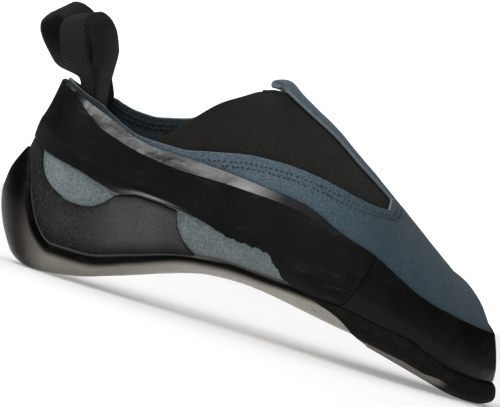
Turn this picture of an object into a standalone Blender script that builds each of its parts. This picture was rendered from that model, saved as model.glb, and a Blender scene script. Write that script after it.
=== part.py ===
"""A slip-on climbing shoe for the right foot.

Every piece is cut from one last surface. The toe points along +X, the big toe side is +Y, +Z is up,
and the origin is the middle of the heel's flat rest spot on the floor.
"""
import bpy
import bmesh
import math
from mathutils import Vector

# Last sizes, in metres
BALL_WIDTH = 0.0865
INSTEP_HEIGHT = 0.112
LAST_RUN = 0.174
HEEL_AXIS_X = 0.002
TOE_TIP_Y = 0.013

# Wall and layer sizes, in metres
CLEARANCE = 0.0003
EDGE_GAP = 0.0006
BED = 0.0006
UNDER_GAP = 0.0011
SUEDE = 0.0016
ELASTIC = 0.0011
BOARD = 0.0022
CUP_RUBBER = 0.0012
RAND_RUBBER = 0.0017
BAND_EDGE = 0.0013
BAND_HEEL = 0.0022
BAND_SIDE = 0.0034
BAND_FRONT = 0.0018
BAND_FOOT = 0.0016
WEBBING = 0.0012
WEBBING_WIDTH = 0.0145

# Sole sizes, in metres
HEEL_SOLE = 0.0049
ARCH_SOLE = 0.0040
TOE_SOLE = 0.0061

# Shares of a turn, from 0 under the last to 2 on its ridge
OPENING_HEEL = 0.36
OPENING_ARCH = 0.25
OPENING_BALL = 0.42

# Last, as shares of the ball width; along runs from 0 at the heel axis to 1 at the toe axis
LAST = (
    ("along", "outer", "inner", "centre", "widest", "low_power", "top_power", "lean"),
    (0, 0.3295, 0.3295, 0, 0.298, 2.5, 2.2, 0),
    (0.0747, 0.3457, 0.3457, 0, 0.3, 2.5, 2.2, 0),
    (0.1609, 0.3503, 0.3457, 0, 0.303, 2.5, 2.15, 0),
    (0.2759, 0.3399, 0.326, -0.0058, 0.284, 2.4, 2.1, 0.0058),
    (0.3908, 0.3434, 0.3145, -0.0116, 0.265, 2.3, 2, 0.0173),
    (0.5057, 0.3815, 0.3526, -0.0116, 0.235, 2.3, 1.95, 0.0289),
    (0.592, 0.4301, 0.4023, -0.0058, 0.242, 2.4, 1.95, 0.0347),
    (0.6782, 0.474, 0.4486, 0, 0.259, 2.5, 2, 0.0405),
    (0.7644, 0.4994, 0.489, 0.0173, 0.273, 2.6, 2, 0.0462),
    (0.8218, 0.5006, 0.4971, 0.0347, 0.288, 2.6, 2.05, 0.0462),
    (0.908, 0.4809, 0.474, 0.0578, 0.304, 2.6, 2.1, 0.0405),
    (1, 0.4393, 0.4254, 0.0925, 0.344, 2.6, 2.1, 0.0289),
)

# Bottom and ridge lines, as shares of the instep height
PROFILE = (
    ("along", "bottom", "ridge"),
    (0, 0.0438, 1.0357),
    (0.0747, 0.0625, 1.0268),
    (0.1609, 0.1, 1.0089),
    (0.2759, 0.1607, 0.9777),
    (0.3448, 0.1964, 0.9607),
    (0.3966, 0.2152, 0.9589),
    (0.431, 0.2205, 0.9804),
    (0.4598, 0.2223, 0.9929),
    (0.4943, 0.2223, 0.9732),
    (0.5517, 0.2161, 0.9286),
    (0.6138, 0.2036, 0.8777),
    (0.681, 0.1866, 0.8063),
    (0.7471, 0.1705, 0.742),
    (0.8144, 0.1571, 0.6714),
    (0.881, 0.1357, 0.6018),
    (0.9483, 0.1107, 0.5304),
    (1, 0.0911, 0.4768),
)

# Rounded heel and toe: reach as a share of the ball width, height of the instep height
HEEL_END = (
    ("turn", "reach", "height"),
    (0, 0, 0.0438),
    (0.1, 0.0751, 0.0464),
    (0.2, 0.1214, 0.0554),
    (0.3, 0.1491, 0.0696),
    (0.4, 0.1688, 0.0897),
    (0.5, 0.1896, 0.1152),
    (0.6, 0.2127, 0.1464),
    (0.7, 0.2335, 0.1821),
    (0.8, 0.252, 0.2241),
    (0.9, 0.2647, 0.2723),
    (1, 0.2671, 0.3393),
    (1.07, 0.2451, 0.4286),
    (1.112, 0.2324, 0.4821),
    (1.18, 0.2185, 0.5589),
    (1.234, 0.1988, 0.6134),
    (1.32, 0.1769, 0.7009),
    (1.38, 0.1676, 0.7518),
    (2, 0.104, 1.0357),
)

TOE_END = (
    ("turn", "reach", "height"),
    (0, 0, 0.0911),
    (0.1, 0.1098, 0.0696),
    (0.2, 0.185, 0.0589),
    (0.3, 0.2486, 0.0563),
    (0.4, 0.2925, 0.0616),
    (0.5, 0.3225, 0.075),
    (0.6, 0.3364, 0.0938),
    (0.7, 0.341, 0.1125),
    (0.85, 0.3376, 0.1411),
    (1, 0.3237, 0.1857),
    (1.2, 0.2821, 0.2732),
    (1.4, 0.2277, 0.3446),
    (1.6, 0.1642, 0.4018),
    (1.8, 0.0879, 0.4482),
    (1.9, 0.0405, 0.4661),
    (2, 0, 0.4768),
)

# Edge lines, as shares of the instep height; along is -1 at the heel's back and 2 at the toe tip
SOLE_LINE = (
    ("along", "height"),
    (-1, 0.4554),
    (-0.7778, 0.4357),
    (-0.5822, 0.3893),
    (-0.4667, 0.3339),
    (-0.3333, 0.2464),
    (-0.2444, 0.1893),
    (-0.0889, 0.1411),
    (0, 0.1304),
    (0.0776, 0.1304),
    (0.1994, 0.1804),
    (0.3201, 0.2375),
    (0.3707, 0.25),
    (0.4483, 0.2589),
    (0.5287, 0.2536),
    (0.6063, 0.25),
    (0.677, 0.2393),
    (0.7489, 0.2348),
    (0.8517, 0.2098),
    (0.9368, 0.1893),
    (1, 0.1536),
    (1.3333, 0.1179),
    (1.6, 0.1071),
    (2, 0.1036),
)

COLLAR = (
    ("along", "height"),
    (-1, 0.7643),
    (-0.7222, 0.7571),
    (-0.4556, 0.7429),
    (-0.2778, 0.7321),
    (-0.1333, 0.7214),
    (0, 0.7134),
    (0.0155, 0.7071),
    (0.054, 0.6777),
    (0.0943, 0.6491),
    (0.1328, 0.6304),
    (0.1684, 0.6268),
    (0.2425, 0.6277),
    (0.3195, 0.6518),
    (0.4345, 0.6875),
    (0.5126, 0.6929),
    (0.5966, 0.683),
    (0.6609, 0.6652),
    (0.7253, 0.6446),
    (0.7701, 0.6375),
    (0.7931, 0.6393),
)

COLLAR_INNER = (
    ("along", "height"),
    (-1, 0.7643),
    (-0.7222, 0.7571),
    (-0.4556, 0.7464),
    (-0.2778, 0.7402),
    (-0.1333, 0.7375),
    (0, 0.7366),
    (0.042, 0.7357),
    (0.0626, 0.7259),
    (0.1046, 0.7134),
    (0.1443, 0.7116),
    (0.1943, 0.7277),
    (0.2425, 0.75),
    (0.2678, 0.7732),
    (0.2816, 0.7554),
    (0.3, 0.7321),
    (0.3333, 0.7107),
    (0.3908, 0.6964),
    (0.4713, 0.6929),
    (0.5287, 0.6902),
    (0.5966, 0.683),
    (0.6609, 0.6652),
    (0.7253, 0.6446),
    (0.7701, 0.6375),
    (0.7931, 0.6393),
)

BAND_TOP = (
    ("along", "height"),
    (-1, 0.7527),
    (-0.7222, 0.7455),
    (-0.4556, 0.7304),
    (-0.2778, 0.717),
    (-0.1333, 0.7045),
    (0, 0.6911),
    (0.0184, 0.6821),
    (0.0575, 0.6598),
    (0.096, 0.6366),
    (0.1345, 0.6161),
    (0.1868, 0.6045),
    (0.2534, 0.6018),
    (0.3546, 0.5973),
    (0.4172, 0.5902),
    (0.4632, 0.5839),
    (0.531, 0.575),
    (0.6011, 0.5554),
    (0.692, 0.4964),
    (0.7908, 0.4491),
    (0.8713, 0.3893),
    (0.9333, 0.3473),
    (1, 0.3214),
    (1.3333, 0.3),
    (1.6, 0.2893),
    (2, 0.2821),
)

BAND_TOP_INNER = (
    ("along", "height"),
    (0.6782, 0.5089),
    (0.7908, 0.4554),
    (0.8713, 0.4152),
    (0.9333, 0.3946),
    (1, 0.3929),
    (1.1667, 0.3911),
    (1.3333, 0.3804),
    (1.5, 0.3607),
    (1.6667, 0.3339),
    (1.8333, 0.3018),
    (2, 0.2821),
)

FLAT_TOP = (
    ("along", "height"),
    (-1, 0.7429),
    (-0.7222, 0.7366),
    (-0.4556, 0.7223),
    (-0.3111, 0.7107),
    (-0.1889, 0.6929),
    (-0.0889, 0.6679),
    (0, 0.6464),
    (0.0379, 0.6107),
    (0.0862, 0.5857),
    (0.1443, 0.5634),
    (0.1966, 0.5518),
    (0.2649, 0.5437),
    (0.3655, 0.5446),
    (0.4713, 0.5411),
    (0.5385, 0.5357),
    (0.6011, 0.5232),
    (0.692, 0.4696),
    (0.7908, 0.425),
)

FLAT_LOW = (
    ("along", "height"),
    (-1, 0.5732),
    (-0.7778, 0.5661),
    (-0.5556, 0.5491),
    (-0.3333, 0.5259),
    (-0.1667, 0.5071),
    (0, 0.4893),
    (0.0563, 0.4661),
    (0.1207, 0.4473),
    (0.1891, 0.4357),
    (0.3385, 0.4125),
    (0.5075, 0.3839),
    (0.6207, 0.3259),
    (0.7908, 0.2991),
)

BAND_LOW = (
    ("along", "height"),
    (-1, 0.5),
    (-0.7222, 0.4875),
    (-0.4778, 0.4625),
    (-0.2222, 0.4455),
    (0, 0.4321),
    (0.0632, 0.4089),
    (0.1241, 0.3893),
    (0.1816, 0.4071),
    (0.2425, 0.4036),
    (0.3448, 0.383),
    (0.4305, 0.3518),
    (0.5259, 0.3429),
    (0.5575, 0.308),
    (0.5954, 0.2652),
    (0.6207, 0.2554),
)

CUP_TOP = (
    ("along", "height"),
    (-1, 0.4964),
    (-0.7222, 0.4839),
    (-0.5111, 0.4589),
    (-0.4444, 0.425),
    (-0.36, 0.3875),
    (-0.2133, 0.3446),
    (-0.0333, 0.3134),
    (0.0374, 0.3009),
    (0.0672, 0.308),
    (0.1006, 0.3411),
    (0.1241, 0.3804),
    (0.1494, 0.3946),
    (0.1816, 0.4036),
    (0.2425, 0.4),
    (0.2759, 0.3929),
)

# Centre strip over the instep, half widths as shares of the ball width
STRIP = (
    ("along", "half_width"),
    (0.4138, 0.0578),
    (0.4253, 0.0855),
    (0.4397, 0.1064),
    (0.4713, 0.1191),
    (0.5345, 0.1249),
    (0.6207, 0.1295),
    (0.7069, 0.1295),
    (0.7931, 0.1179),
)

# Stations round the heel, along the side and round the toe
HEEL_TURN = (-1, -0.84, -0.68, -0.56, -0.46, -0.36, -0.24, -0.12)
SIDE = (0, 0.035, 0.07, 0.1, 0.13, 0.1684, 0.21, 0.268, 0.3, 0.36, 0.4138, 0.4397, 0.4713, 0.52, 0.56,
        0.6, 0.645, 0.69, 0.74, 0.7931, 0.84, 0.88, 0.92, 0.96)
TOE_TURN = (1, 1.12, 1.24, 1.36, 1.48, 1.6, 1.72, 1.86, 2)
ALL_ROUND = HEEL_TURN + SIDE + TOE_TURN

# Stations where the gores begin and end, and where the centre strip's tab ends
GORE_REAR = 0.1684
GORE_FRONT = 0.7931
TAB_END = 0.4138

SHARP_ANGLE = math.radians(40)

OUTER_SIDE = -1
INNER_SIDE = 1


def read_table(table, column):
    """Give a function that reads one column of a table, smooth and without overshoot."""
    number = table[0].index(column)
    place = [row[0] for row in table[1:]]
    value = [row[number] for row in table[1:]]
    step = [b - a for a, b in zip(place, place[1:])]
    rise = [(b - a) / s for a, b, s in zip(value, value[1:], step)]
    slope = [rise[0]]
    for before, after in zip(rise, rise[1:]):
        if before * after <= 0:
            slope.append(0.0)
        else:
            slope.append(2 * before * after / (before + after))
    slope.append(rise[-1])

    def read(at):
        if at <= place[0]:
            return value[0]
        if at >= place[-1]:
            return value[-1]
        i = 0
        while at > place[i + 1]:
            i += 1
        u = (at - place[i]) / step[i]
        lift = value[i] * (1 + 2 * u) * (1 - u) ** 2
        lift += value[i + 1] * (3 - 2 * u) * u * u
        lift += step[i] * slope[i] * u * (1 - u) ** 2
        lift -= step[i] * slope[i + 1] * u * u * (1 - u)
        return lift

    return read


OUTER_WIDTH = read_table(LAST, "outer")
INNER_WIDTH = read_table(LAST, "inner")
CENTRE = read_table(LAST, "centre")
WIDEST = read_table(LAST, "widest")
LOW_POWER = read_table(LAST, "low_power")
TOP_POWER = read_table(LAST, "top_power")
LEAN = read_table(LAST, "lean")
BOTTOM = read_table(PROFILE, "bottom")
RIDGE = read_table(PROFILE, "ridge")
HEEL_REACH = read_table(HEEL_END, "reach")
HEEL_BACK = read_table(HEEL_END, "height")
TOE_REACH = read_table(TOE_END, "reach")
TOE_FRONT = read_table(TOE_END, "height")
STRIP_HALF = read_table(STRIP, "half_width")


def height_line(table):
    """Give a function that reads an edge line in metres above the floor."""
    read = read_table(table, "height")
    return lambda along: INSTEP_HEIGHT * read(along)


SOLE_TOP = height_line(SOLE_LINE)
COLLAR_TOP = height_line(COLLAR)
COLLAR_TOP_INNER = height_line(COLLAR_INNER)
RUBBER_TOP = height_line(BAND_TOP)
RUBBER_TOP_INNER = height_line(BAND_TOP_INNER)
STEP_TOP = height_line(FLAT_TOP)
STEP_LOW = height_line(FLAT_LOW)
BAND_BOTTOM = height_line(BAND_LOW)
CUP_EDGE = height_line(CUP_TOP)


def clamp(value, low, high):
    return max(low, min(high, value))


def blend(start, end, share):
    return start + (end - start) * share


def ease(share):
    share = clamp(share, 0.0, 1.0)
    return share * share * (3 - 2 * share)


def section(along, side, turn):
    """Point of the upright section at a station; turn 0 is under the last, 2 on its ridge."""
    bottom = INSTEP_HEIGHT * BOTTOM(along)
    ridge = INSTEP_HEIGHT * RIDGE(along)
    share = WIDEST(along)
    half = BALL_WIDTH * (OUTER_WIDTH(along) if side == OUTER_SIDE else INNER_WIDTH(along))
    quarter = 0.5 * math.pi
    if turn <= 1:
        power = 2 / LOW_POWER(along)
        out = math.sin(turn * quarter) ** power
        level = share * (1 - abs(math.cos(turn * quarter)) ** power)
    else:
        power = 2 / TOP_POWER(along)
        out = abs(math.cos((turn - 1) * quarter)) ** power
        level = share + (1 - share) * math.sin((turn - 1) * quarter) ** power
    middle = BALL_WIDTH * (CENTRE(along) + LEAN(along) * level)
    x = HEEL_AXIS_X + LAST_RUN * along
    return Vector((x, middle + side * half * out, blend(bottom, ridge, level)))


def rounded_end(end, side, turn, angle):
    """Point of the rounded heel or toe; angle runs from the side to the middle of the end."""
    along = 0.0 if end < 0 else 1.0
    inward = along - end * 0.02
    base = section(along, side, turn)
    slope = (base - section(inward, side, turn)) / abs(LAST_RUN * 0.02)
    mirror = section(along, -side, turn)
    middle = 0.5 * (base.y + mirror.y)
    if end < 0:
        reach = BALL_WIDTH * HEEL_REACH(turn)
        tip = Vector((0, middle, INSTEP_HEIGHT * HEEL_BACK(turn)))
    else:
        reach = BALL_WIDTH * TOE_REACH(turn)
        tip = Vector((0, TOE_TIP_Y, INSTEP_HEIGHT * TOE_FRONT(turn)))
        tip.y = blend(middle, TOE_TIP_Y, clamp(TOE_REACH(turn) / TOE_REACH(0.7), 0, 1))
    u = math.sin(angle)
    cubic = u ** 3
    x = base.x + end * reach * u
    y = middle + (base.y - middle) * math.cos(angle)
    y += slope.y * reach * u + (tip.y - middle - slope.y * reach) * cubic
    z = base.z + slope.z * reach * u + (tip.z - base.z - slope.z * reach) * cubic
    return Vector((x, y, z))


def last_point(along, side, turn):
    """Point of the last surface at a station, from -1 at the heel's back to 2 at the toe tip."""
    if turn < 0:
        side, turn = -side, -turn
    if turn > 2:
        side, turn = -side, 4 - turn
    if along < -1:
        side, along = -side, -2 - along
    if along > 2:
        side, along = -side, 4 - along
    if along < 0:
        return rounded_end(-1, side, turn, -along * 0.5 * math.pi)
    if along > 1:
        return rounded_end(1, side, turn, (along - 1) * 0.5 * math.pi)
    return section(along, side, turn)


def last_normal(along, side, turn):
    """Outward unit normal of the last surface."""
    if turn < 0.03 and (along < 0.2 or along > 0.9):
        return Vector((0, 0, -1))
    if turn > 1.97 and along > 0.97:
        return (last_normal(0.97, side, 2.0) + Vector((0.35, 0, 1))).normalized()
    small = 0.02
    ahead = last_point(along + small, side, turn) - last_point(along - small, side, turn)
    over = last_point(along, side, turn + small) - last_point(along, side, turn - small)
    normal = ahead.cross(over)
    if side == INNER_SIDE:
        normal = -normal
    return normal.normalized()


def lifted(along, side, turn, lift):
    return last_point(along, side, turn) + last_normal(along, side, turn) * lift


def turn_at(along, side, height):
    """Turn at which the last surface reaches a height at a station."""
    low, high = (0.3, 2.0) if along > 0.9 else (0.02, 2.0)
    for _ in range(30):
        mid = 0.5 * (low + high)
        if last_point(along, side, mid).z < height:
            low = mid
        else:
            high = mid
    return 0.5 * (low + high)


def opening_turn(along):
    """Edge of the opening underneath, where the insole lies."""
    if along < 0.3:
        return blend(OPENING_HEEL, OPENING_ARCH, ease(along / 0.3))
    return blend(OPENING_ARCH, OPENING_BALL, ease((along - 0.3) / 0.4))


def strip_turn(along, side):
    """Edge of the centre strip over the instep."""
    station = clamp(along, TAB_END, 1.0)
    width = BALL_WIDTH * (OUTER_WIDTH(station) if side == OUTER_SIDE else INNER_WIDTH(station))
    share = clamp(BALL_WIDTH * STRIP_HALF(station) / width, 0, 1)
    return 1 + math.acos(share ** (TOP_POWER(station) / 2)) / (0.5 * math.pi)


def collar_height(along, side):
    """Height of the collar and, further on, of the gore's lower edge."""
    if side == INNER_SIDE:
        return COLLAR_TOP_INNER(along)
    return COLLAR_TOP(along)


def quarter_turn(along, side):
    """Top edge of the quarters: the collar, then the lower edge of the gore."""
    station = min(along, GORE_FRONT)
    return turn_at(station, side, collar_height(station, side))


def rubber_top_turn(along, side):
    """Top edge of the rubber on either side."""
    line = RUBBER_TOP
    if side == INNER_SIDE and along > 0.68:
        line = RUBBER_TOP_INNER
    height = line(along)
    return turn_at(along, side, height)


class Mesh:
    """Corner points and faces of one piece, with points at one place kept once."""

    def __init__(self):
        self.points = []
        self.faces = []
        self.number = {}

    def corner(self, point):
        key = tuple(round(value, 6) for value in point)
        if key not in self.number:
            self.number[key] = len(self.points)
            self.points.append(point)
        return self.number[key]

    def face(self, corners):
        kept = []
        for corner in corners:
            if corner not in kept:
                kept.append(corner)
        if len(kept) > 2:
            self.faces.append(kept)

    def build(self, name, colour, roughness):
        data = bpy.data.meshes.new(name)
        data.from_pydata([tuple(point) for point in self.points], [], self.faces)
        data.update()
        work = bmesh.new()
        work.from_mesh(data)
        bmesh.ops.recalc_face_normals(work, faces=work.faces)
        work.to_mesh(data)
        work.free()
        data.shade_smooth()
        data.set_sharp_from_angle(angle=SHARP_ANGLE)
        piece = bpy.data.objects.new(name, data)
        shoe.objects.link(piece)
        material = bpy.data.materials.new(name)
        material.use_nodes = True
        shader = material.node_tree.nodes["Principled BSDF"]
        shader.inputs["Base Color"].default_value = (*colour, 1.0)
        shader.inputs["Roughness"].default_value = roughness
        shader.inputs["Metallic"].default_value = 0.0
        data.materials.append(material)
        return piece


def thick_patch(mesh, edges, columns, kept, flip):
    """Add two sheets of points to a mesh, as far as the cells are kept, and note their free edges.

    columns holds, for each station, a row of (inner, outer) points.
    """
    inner = [[mesh.corner(pair[0]) for pair in column] for column in columns]
    outer = [[mesh.corner(pair[1]) for pair in column] for column in columns]
    for i in range(len(columns) - 1):
        for j in range(len(columns[0]) - 1):
            if not kept(i, j):
                continue
            cell = [(i, j), (i + 1, j), (i + 1, j + 1), (i, j + 1)]
            if flip:
                cell.reverse()
            mesh.face([outer[a][b] for a, b in cell])
            mesh.face([inner[a][b] for a, b in reversed(cell)])
            for start, end in zip(cell, cell[1:] + cell[:1]):
                low = (inner[start[0]][start[1]], outer[start[0]][start[1]])
                high = (inner[end[0]][end[1]], outer[end[0]][end[1]])
                if low == high:
                    continue
                if (high, low) in edges:
                    del edges[(high, low)]
                else:
                    edges[(low, high)] = True


def piece_over_last(name, sides, stations, rows, place, colour, roughness, kept=None):
    """Closed solid over the last.

    place(station, side, row) gives the station and turn of a corner and its two lifts off the last.
    """
    mesh = Mesh()
    edges = {}
    for side in sides:
        columns = []
        for station in stations:
            column = []
            for row in rows:
                along, turn, low, high = place(station, side, row)
                inner = on_floor(lifted(along, side, turn, low))
                outer = on_floor(lifted(along, side, turn, high))
                column.append((inner, outer))
            columns.append(column)
        thick_patch(mesh, edges, columns, kept or (lambda i, j: True), side == INNER_SIDE)
    for low, high in edges:
        mesh.face([low[0], high[0], high[1], low[1]])
    return mesh.build(name, colour, roughness)


def on_floor(point):
    """Flatten what would reach below the floor."""
    return Vector((point.x, point.y, max(point.z, 0.0)))


def spread(start, end, count):
    return [blend(start, end, i / count) for i in range(count + 1)]


def stretched(station, anchor, nominal, wanted):
    """Move a station past an anchor so that the nominal end lands on the wanted one."""
    if (station - anchor) * (nominal - anchor) <= 0:
        return station
    return anchor + (station - anchor) * (wanted - anchor) / (nominal - anchor)


for existing in list(bpy.data.objects):
    bpy.data.objects.remove(existing)
shoe = bpy.data.collections.new("climbing_shoe")
bpy.context.scene.collection.children.link(shoe)

SUEDE_BLUE = (0.075, 0.095, 0.12)
ELASTIC_BLACK = (0.018, 0.018, 0.018)
RUBBER_BLACK = (0.022, 0.022, 0.024)
CUP_GREY = (0.04, 0.04, 0.04)
SOLE_BROWN = (0.035, 0.032, 0.029)
BOARD_GREY = (0.12, 0.12, 0.12)
WEBBING_BLACK = (0.012, 0.012, 0.011)
BOTH = (OUTER_SIDE, INNER_SIDE)

# Upper: quarters, vamp and centre strip in one hollow shell
LOWER_ROWS = 7
GAP_ROWS = 3
STRIP_ROWS = 2
UPPER_ROWS = range(LOWER_ROWS + GAP_ROWS + STRIP_ROWS + 1)


def upper_place(station, side, row):
    edge = quarter_turn(station, side)
    strip = max(strip_turn(station, side), edge + 0.02)
    if row <= LOWER_ROWS:
        turn = blend(opening_turn(station), edge, row / LOWER_ROWS)
    elif row <= LOWER_ROWS + GAP_ROWS:
        turn = blend(edge, strip, (row - LOWER_ROWS) / GAP_ROWS)
    else:
        turn = blend(strip, 2.0, (row - LOWER_ROWS - GAP_ROWS) / STRIP_ROWS)
    return station, turn, -SUEDE, 0.0


def upper_cell(i, j):
    """Which cells of half the upper are there: none at the collar, and none where the gore is."""
    along = 0.5 * (ALL_ROUND[i] + ALL_ROUND[i + 1])
    if j < LOWER_ROWS:
        return True
    if j < LOWER_ROWS + GAP_ROWS:
        return along > GORE_FRONT
    return along > TAB_END


piece_over_last("upper", BOTH, ALL_ROUND, UPPER_ROWS, upper_place, SUEDE_BLUE, 0.85, upper_cell)

# Insole: the board that fills the opening underneath
BOARD_GAP = 0.01
BOARD_ROWS = (0, 0.35, 0.7, 1)


def board_place(station, side, row):
    return station, row * (opening_turn(station) - BOARD_GAP), -BOARD, 0.0


piece_over_last("insole", BOTH, ALL_ROUND, BOARD_ROWS, board_place, BOARD_GREY, 0.9)

# Soles: rows run from the middle underneath to the top edge at the side
SOLE_ROWS = (0, 0.13, 0.26, 0.39, 0.52, 0.64, 0.76, 0.86, 0.95, 1)
SOLE_JOIN = (
    ("row", "along"),
    (0, 0.85),
    (0.4, 0.838),
    (0.6, 0.816),
    (0.76, 0.79),
    (0.88, 0.742),
    (0.96, 0.68),
    (1, 0.64),
)
HEEL_SOLE_DEPTH = (
    ("row", "depth"),
    (0, 1),
    (0.6, 1.02),
    (0.8, 1.06),
    (0.92, 0.92),
    (0.97, 0.66),
    (1, 0.4),
)
TOE_SOLE_DEPTH = (
    ("row", "depth"),
    (0, 1),
    (0.4, 1.04),
    (0.6, 1.14),
    (0.76, 1.25),
    (0.88, 0.83),
    (0.96, 0.47),
    (1, 0.3),
)
JOIN = read_table(SOLE_JOIN, "along")
HEEL_DEPTH = read_table(HEEL_SOLE_DEPTH, "depth")
TOE_DEPTH = read_table(TOE_SOLE_DEPTH, "depth")
JOIN_GAP = 0.008
HEEL_SOLE_STATIONS = HEEL_TURN + tuple(s for s in SIDE if s < 0.62) + (0.65, 0.7, 0.75)
TOE_SOLE_STATIONS = (0.78, 0.81, 0.84, 0.87, 0.9, 0.94) + TOE_TURN


def sole_turn(station, side, row):
    return row * turn_at(station, side, SOLE_TOP(station))


def heel_sole_place(station, side, row):
    along = stretched(station, 0.36, 0.75, JOIN(row) - JOIN_GAP)
    depth = blend(HEEL_SOLE, ARCH_SOLE, ease(along / 0.3)) * HEEL_DEPTH(row)
    return along, sole_turn(along, side, row), BED, BED + depth


def toe_sole_place(station, side, row):
    along = stretched(station, 0.94, 0.78, JOIN(row))
    depth = TOE_SOLE * TOE_DEPTH(row)
    return along, sole_turn(along, side, row), BED, BED + depth


piece_over_last("heel_sole", BOTH, HEEL_SOLE_STATIONS, SOLE_ROWS, heel_sole_place, SOLE_BROWN, 0.45)
piece_over_last("forefoot_sole", BOTH, TOE_SOLE_STATIONS, SOLE_ROWS, toe_sole_place, SOLE_BROWN, 0.6)

# Heel cup: thin rubber with a half-moon window in its top edge
CUP_FRONT = (
    ("row", "along"),
    (0, 0.356),
    (0.25, 0.331),
    (0.5, 0.31),
    (0.75, 0.293),
    (1, 0.281),
)
CUP_END = read_table(CUP_FRONT, "along")
CUP_STATIONS = HEEL_TURN + (0, 0.035, 0.07, 0.1, 0.1241, 0.155, 0.19, 0.2425)


def cup_place(station, side, row):
    along = stretched(station, 0.155, 0.2425, CUP_END(row))
    low = turn_at(along, side, SOLE_TOP(along) + EDGE_GAP)
    high = turn_at(along, side, min(CUP_EDGE(along), BAND_BOTTOM(along) - EDGE_GAP))
    return along, blend(low, high, row), BED, BED + CUP_RUBBER


piece_over_last("heel_cup", BOTH, CUP_STATIONS, spread(0, 1, 6), cup_place, CUP_GREY, 0.75)

# Tension band: round the heel and along both sides, with a raised flat middle
BAND_FRONT_TOP = 0.7908
BAND_FRONT_LOW = 0.7437
BAND_ON_SOLE = 0.62
FOOT_LEAST = 0.002
STRIP_LEAST = 0.0008
SLANT_AT = 0.76
SLANT_FROM = 0.69
BAND_STATIONS = HEEL_TURN + tuple(s for s in SIDE if s < BAND_FRONT_LOW) + (BAND_FRONT_TOP,)
BAND_ROWS = (0, 0.5, 1, 1.5, 2, 2.5, 3)


def band_turns(along, side):
    """Turns of the band's lower edge, of both edges of its flat middle and of its top edge."""
    low = max(BAND_BOTTOM(along), SOLE_TOP(along) + EDGE_GAP)
    if along > BAND_ON_SOLE:
        low = SOLE_TOP(along) + EDGE_GAP
    top = RUBBER_TOP(along)
    flat_low = max(STEP_LOW(along), low + FOOT_LEAST)
    flat_top = min(STEP_TOP(along), top - STRIP_LEAST)
    heights = (low, flat_low, flat_top, top)
    return [turn_at(along, side, height) for height in heights]


def band_lift(along, row):
    """How far the band's face stands off the last."""
    if along < 0:
        middle = blend(BAND_HEEL, BAND_SIDE, ease(along + 1))
    else:
        middle = blend(BAND_SIDE, BAND_FRONT, ease((along - 0.45) / 0.3))
    foot = blend(BAND_FOOT, BAND_FRONT, ease((along - 0.5) / 0.2))
    top = blend(BAND_EDGE, BAND_FRONT, ease((along - 0.5) / 0.25))
    if row < 1:
        return blend(foot, middle, row)
    if row > 2:
        return blend(middle, top, row - 2)
    return middle


def band_turn(along, side, row):
    turns = band_turns(along, side)
    index = min(int(row), 2)
    return blend(turns[index], turns[index + 1], row - index)


def band_place(station, side, row):
    low = band_turn(SLANT_AT, side, 0)
    rise = (band_turn(SLANT_AT, side, row) - low) / (band_turn(SLANT_AT, side, 3) - low)
    along = stretched(station, SLANT_FROM, BAND_FRONT_TOP, blend(BAND_FRONT_LOW, BAND_FRONT_TOP, rise))
    turn = band_turn(along, side, row)
    return along, turn, BED, BED + band_lift(along, row)


piece_over_last("tension_band", BOTH, BAND_STATIONS, BAND_ROWS, band_place, RUBBER_BLACK, 0.35)

# Toe rand: from the seam with the band round the toes
RAND_GAP = 0.002
RAND_STATIONS = (BAND_FRONT_TOP, 0.84, 0.88, 0.92, 0.96) + TOE_TURN


def rand_place(station, side, row):
    wanted = blend(BAND_FRONT_LOW, BAND_FRONT_TOP, row) + RAND_GAP
    along = stretched(station, 0.88, BAND_FRONT_TOP, wanted)
    low = turn_at(along, side, SOLE_TOP(along) + EDGE_GAP)
    return along, blend(low, rubber_top_turn(along, side), row), BED, BED + RAND_RUBBER


piece_over_last("toe_rand", BOTH, RAND_STATIONS, spread(0, 1, 6), rand_place, RUBBER_BLACK, 0.4)

# Gores: elastic sewn under the edges of the quarters and of the centre strip
GORE_COLLAR = (
    ("row", "outer", "inner"),
    (0, 0.1684, 0.268),
    (0.12, 0.215, 0.29),
    (0.3, 0.262, 0.315),
    (0.5, 0.308, 0.343),
    (0.75, 0.362, 0.375),
    (1, 0.396, 0.396),
)
GORE_EDGE = {
    OUTER_SIDE: read_table(GORE_COLLAR, "outer"),
    INNER_SIDE: read_table(GORE_COLLAR, "inner"),
}
GORE_ROWS = (-0.2, 0, 0.25, 0.5, 0.75, 1, 1.15)
GORE_STATIONS = (GORE_REAR, 0.23, 0.29, 0.35, TAB_END, 0.4713, 0.52, 0.56, 0.6, 0.645, 0.69, 0.74,
                 GORE_FRONT, 0.815)
GORE_TUCK = {"low": 0.05, "high": 0.06}


def gore_place(station, side, row):
    along = stretched(station, GORE_FRONT, GORE_REAR, GORE_EDGE[side](clamp(row, 0, 1)))
    low = quarter_turn(along, side)
    high = max(strip_turn(along, side), low + 0.02)
    if row < 0:
        turn = low - GORE_TUCK["low"]
    elif row > 1:
        turn = min(high + GORE_TUCK["high"], 1.95)
    else:
        turn = blend(low, high, row)
    under = -SUEDE - UNDER_GAP
    return along, turn, under - ELASTIC, under


for gore, gore_side in (("gore_lateral", OUTER_SIDE), ("gore_medial", INNER_SIDE)):
    piece_over_last(gore, (gore_side,), GORE_STATIONS, GORE_ROWS, gore_place, ELASTIC_BLACK, 0.8)

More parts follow.
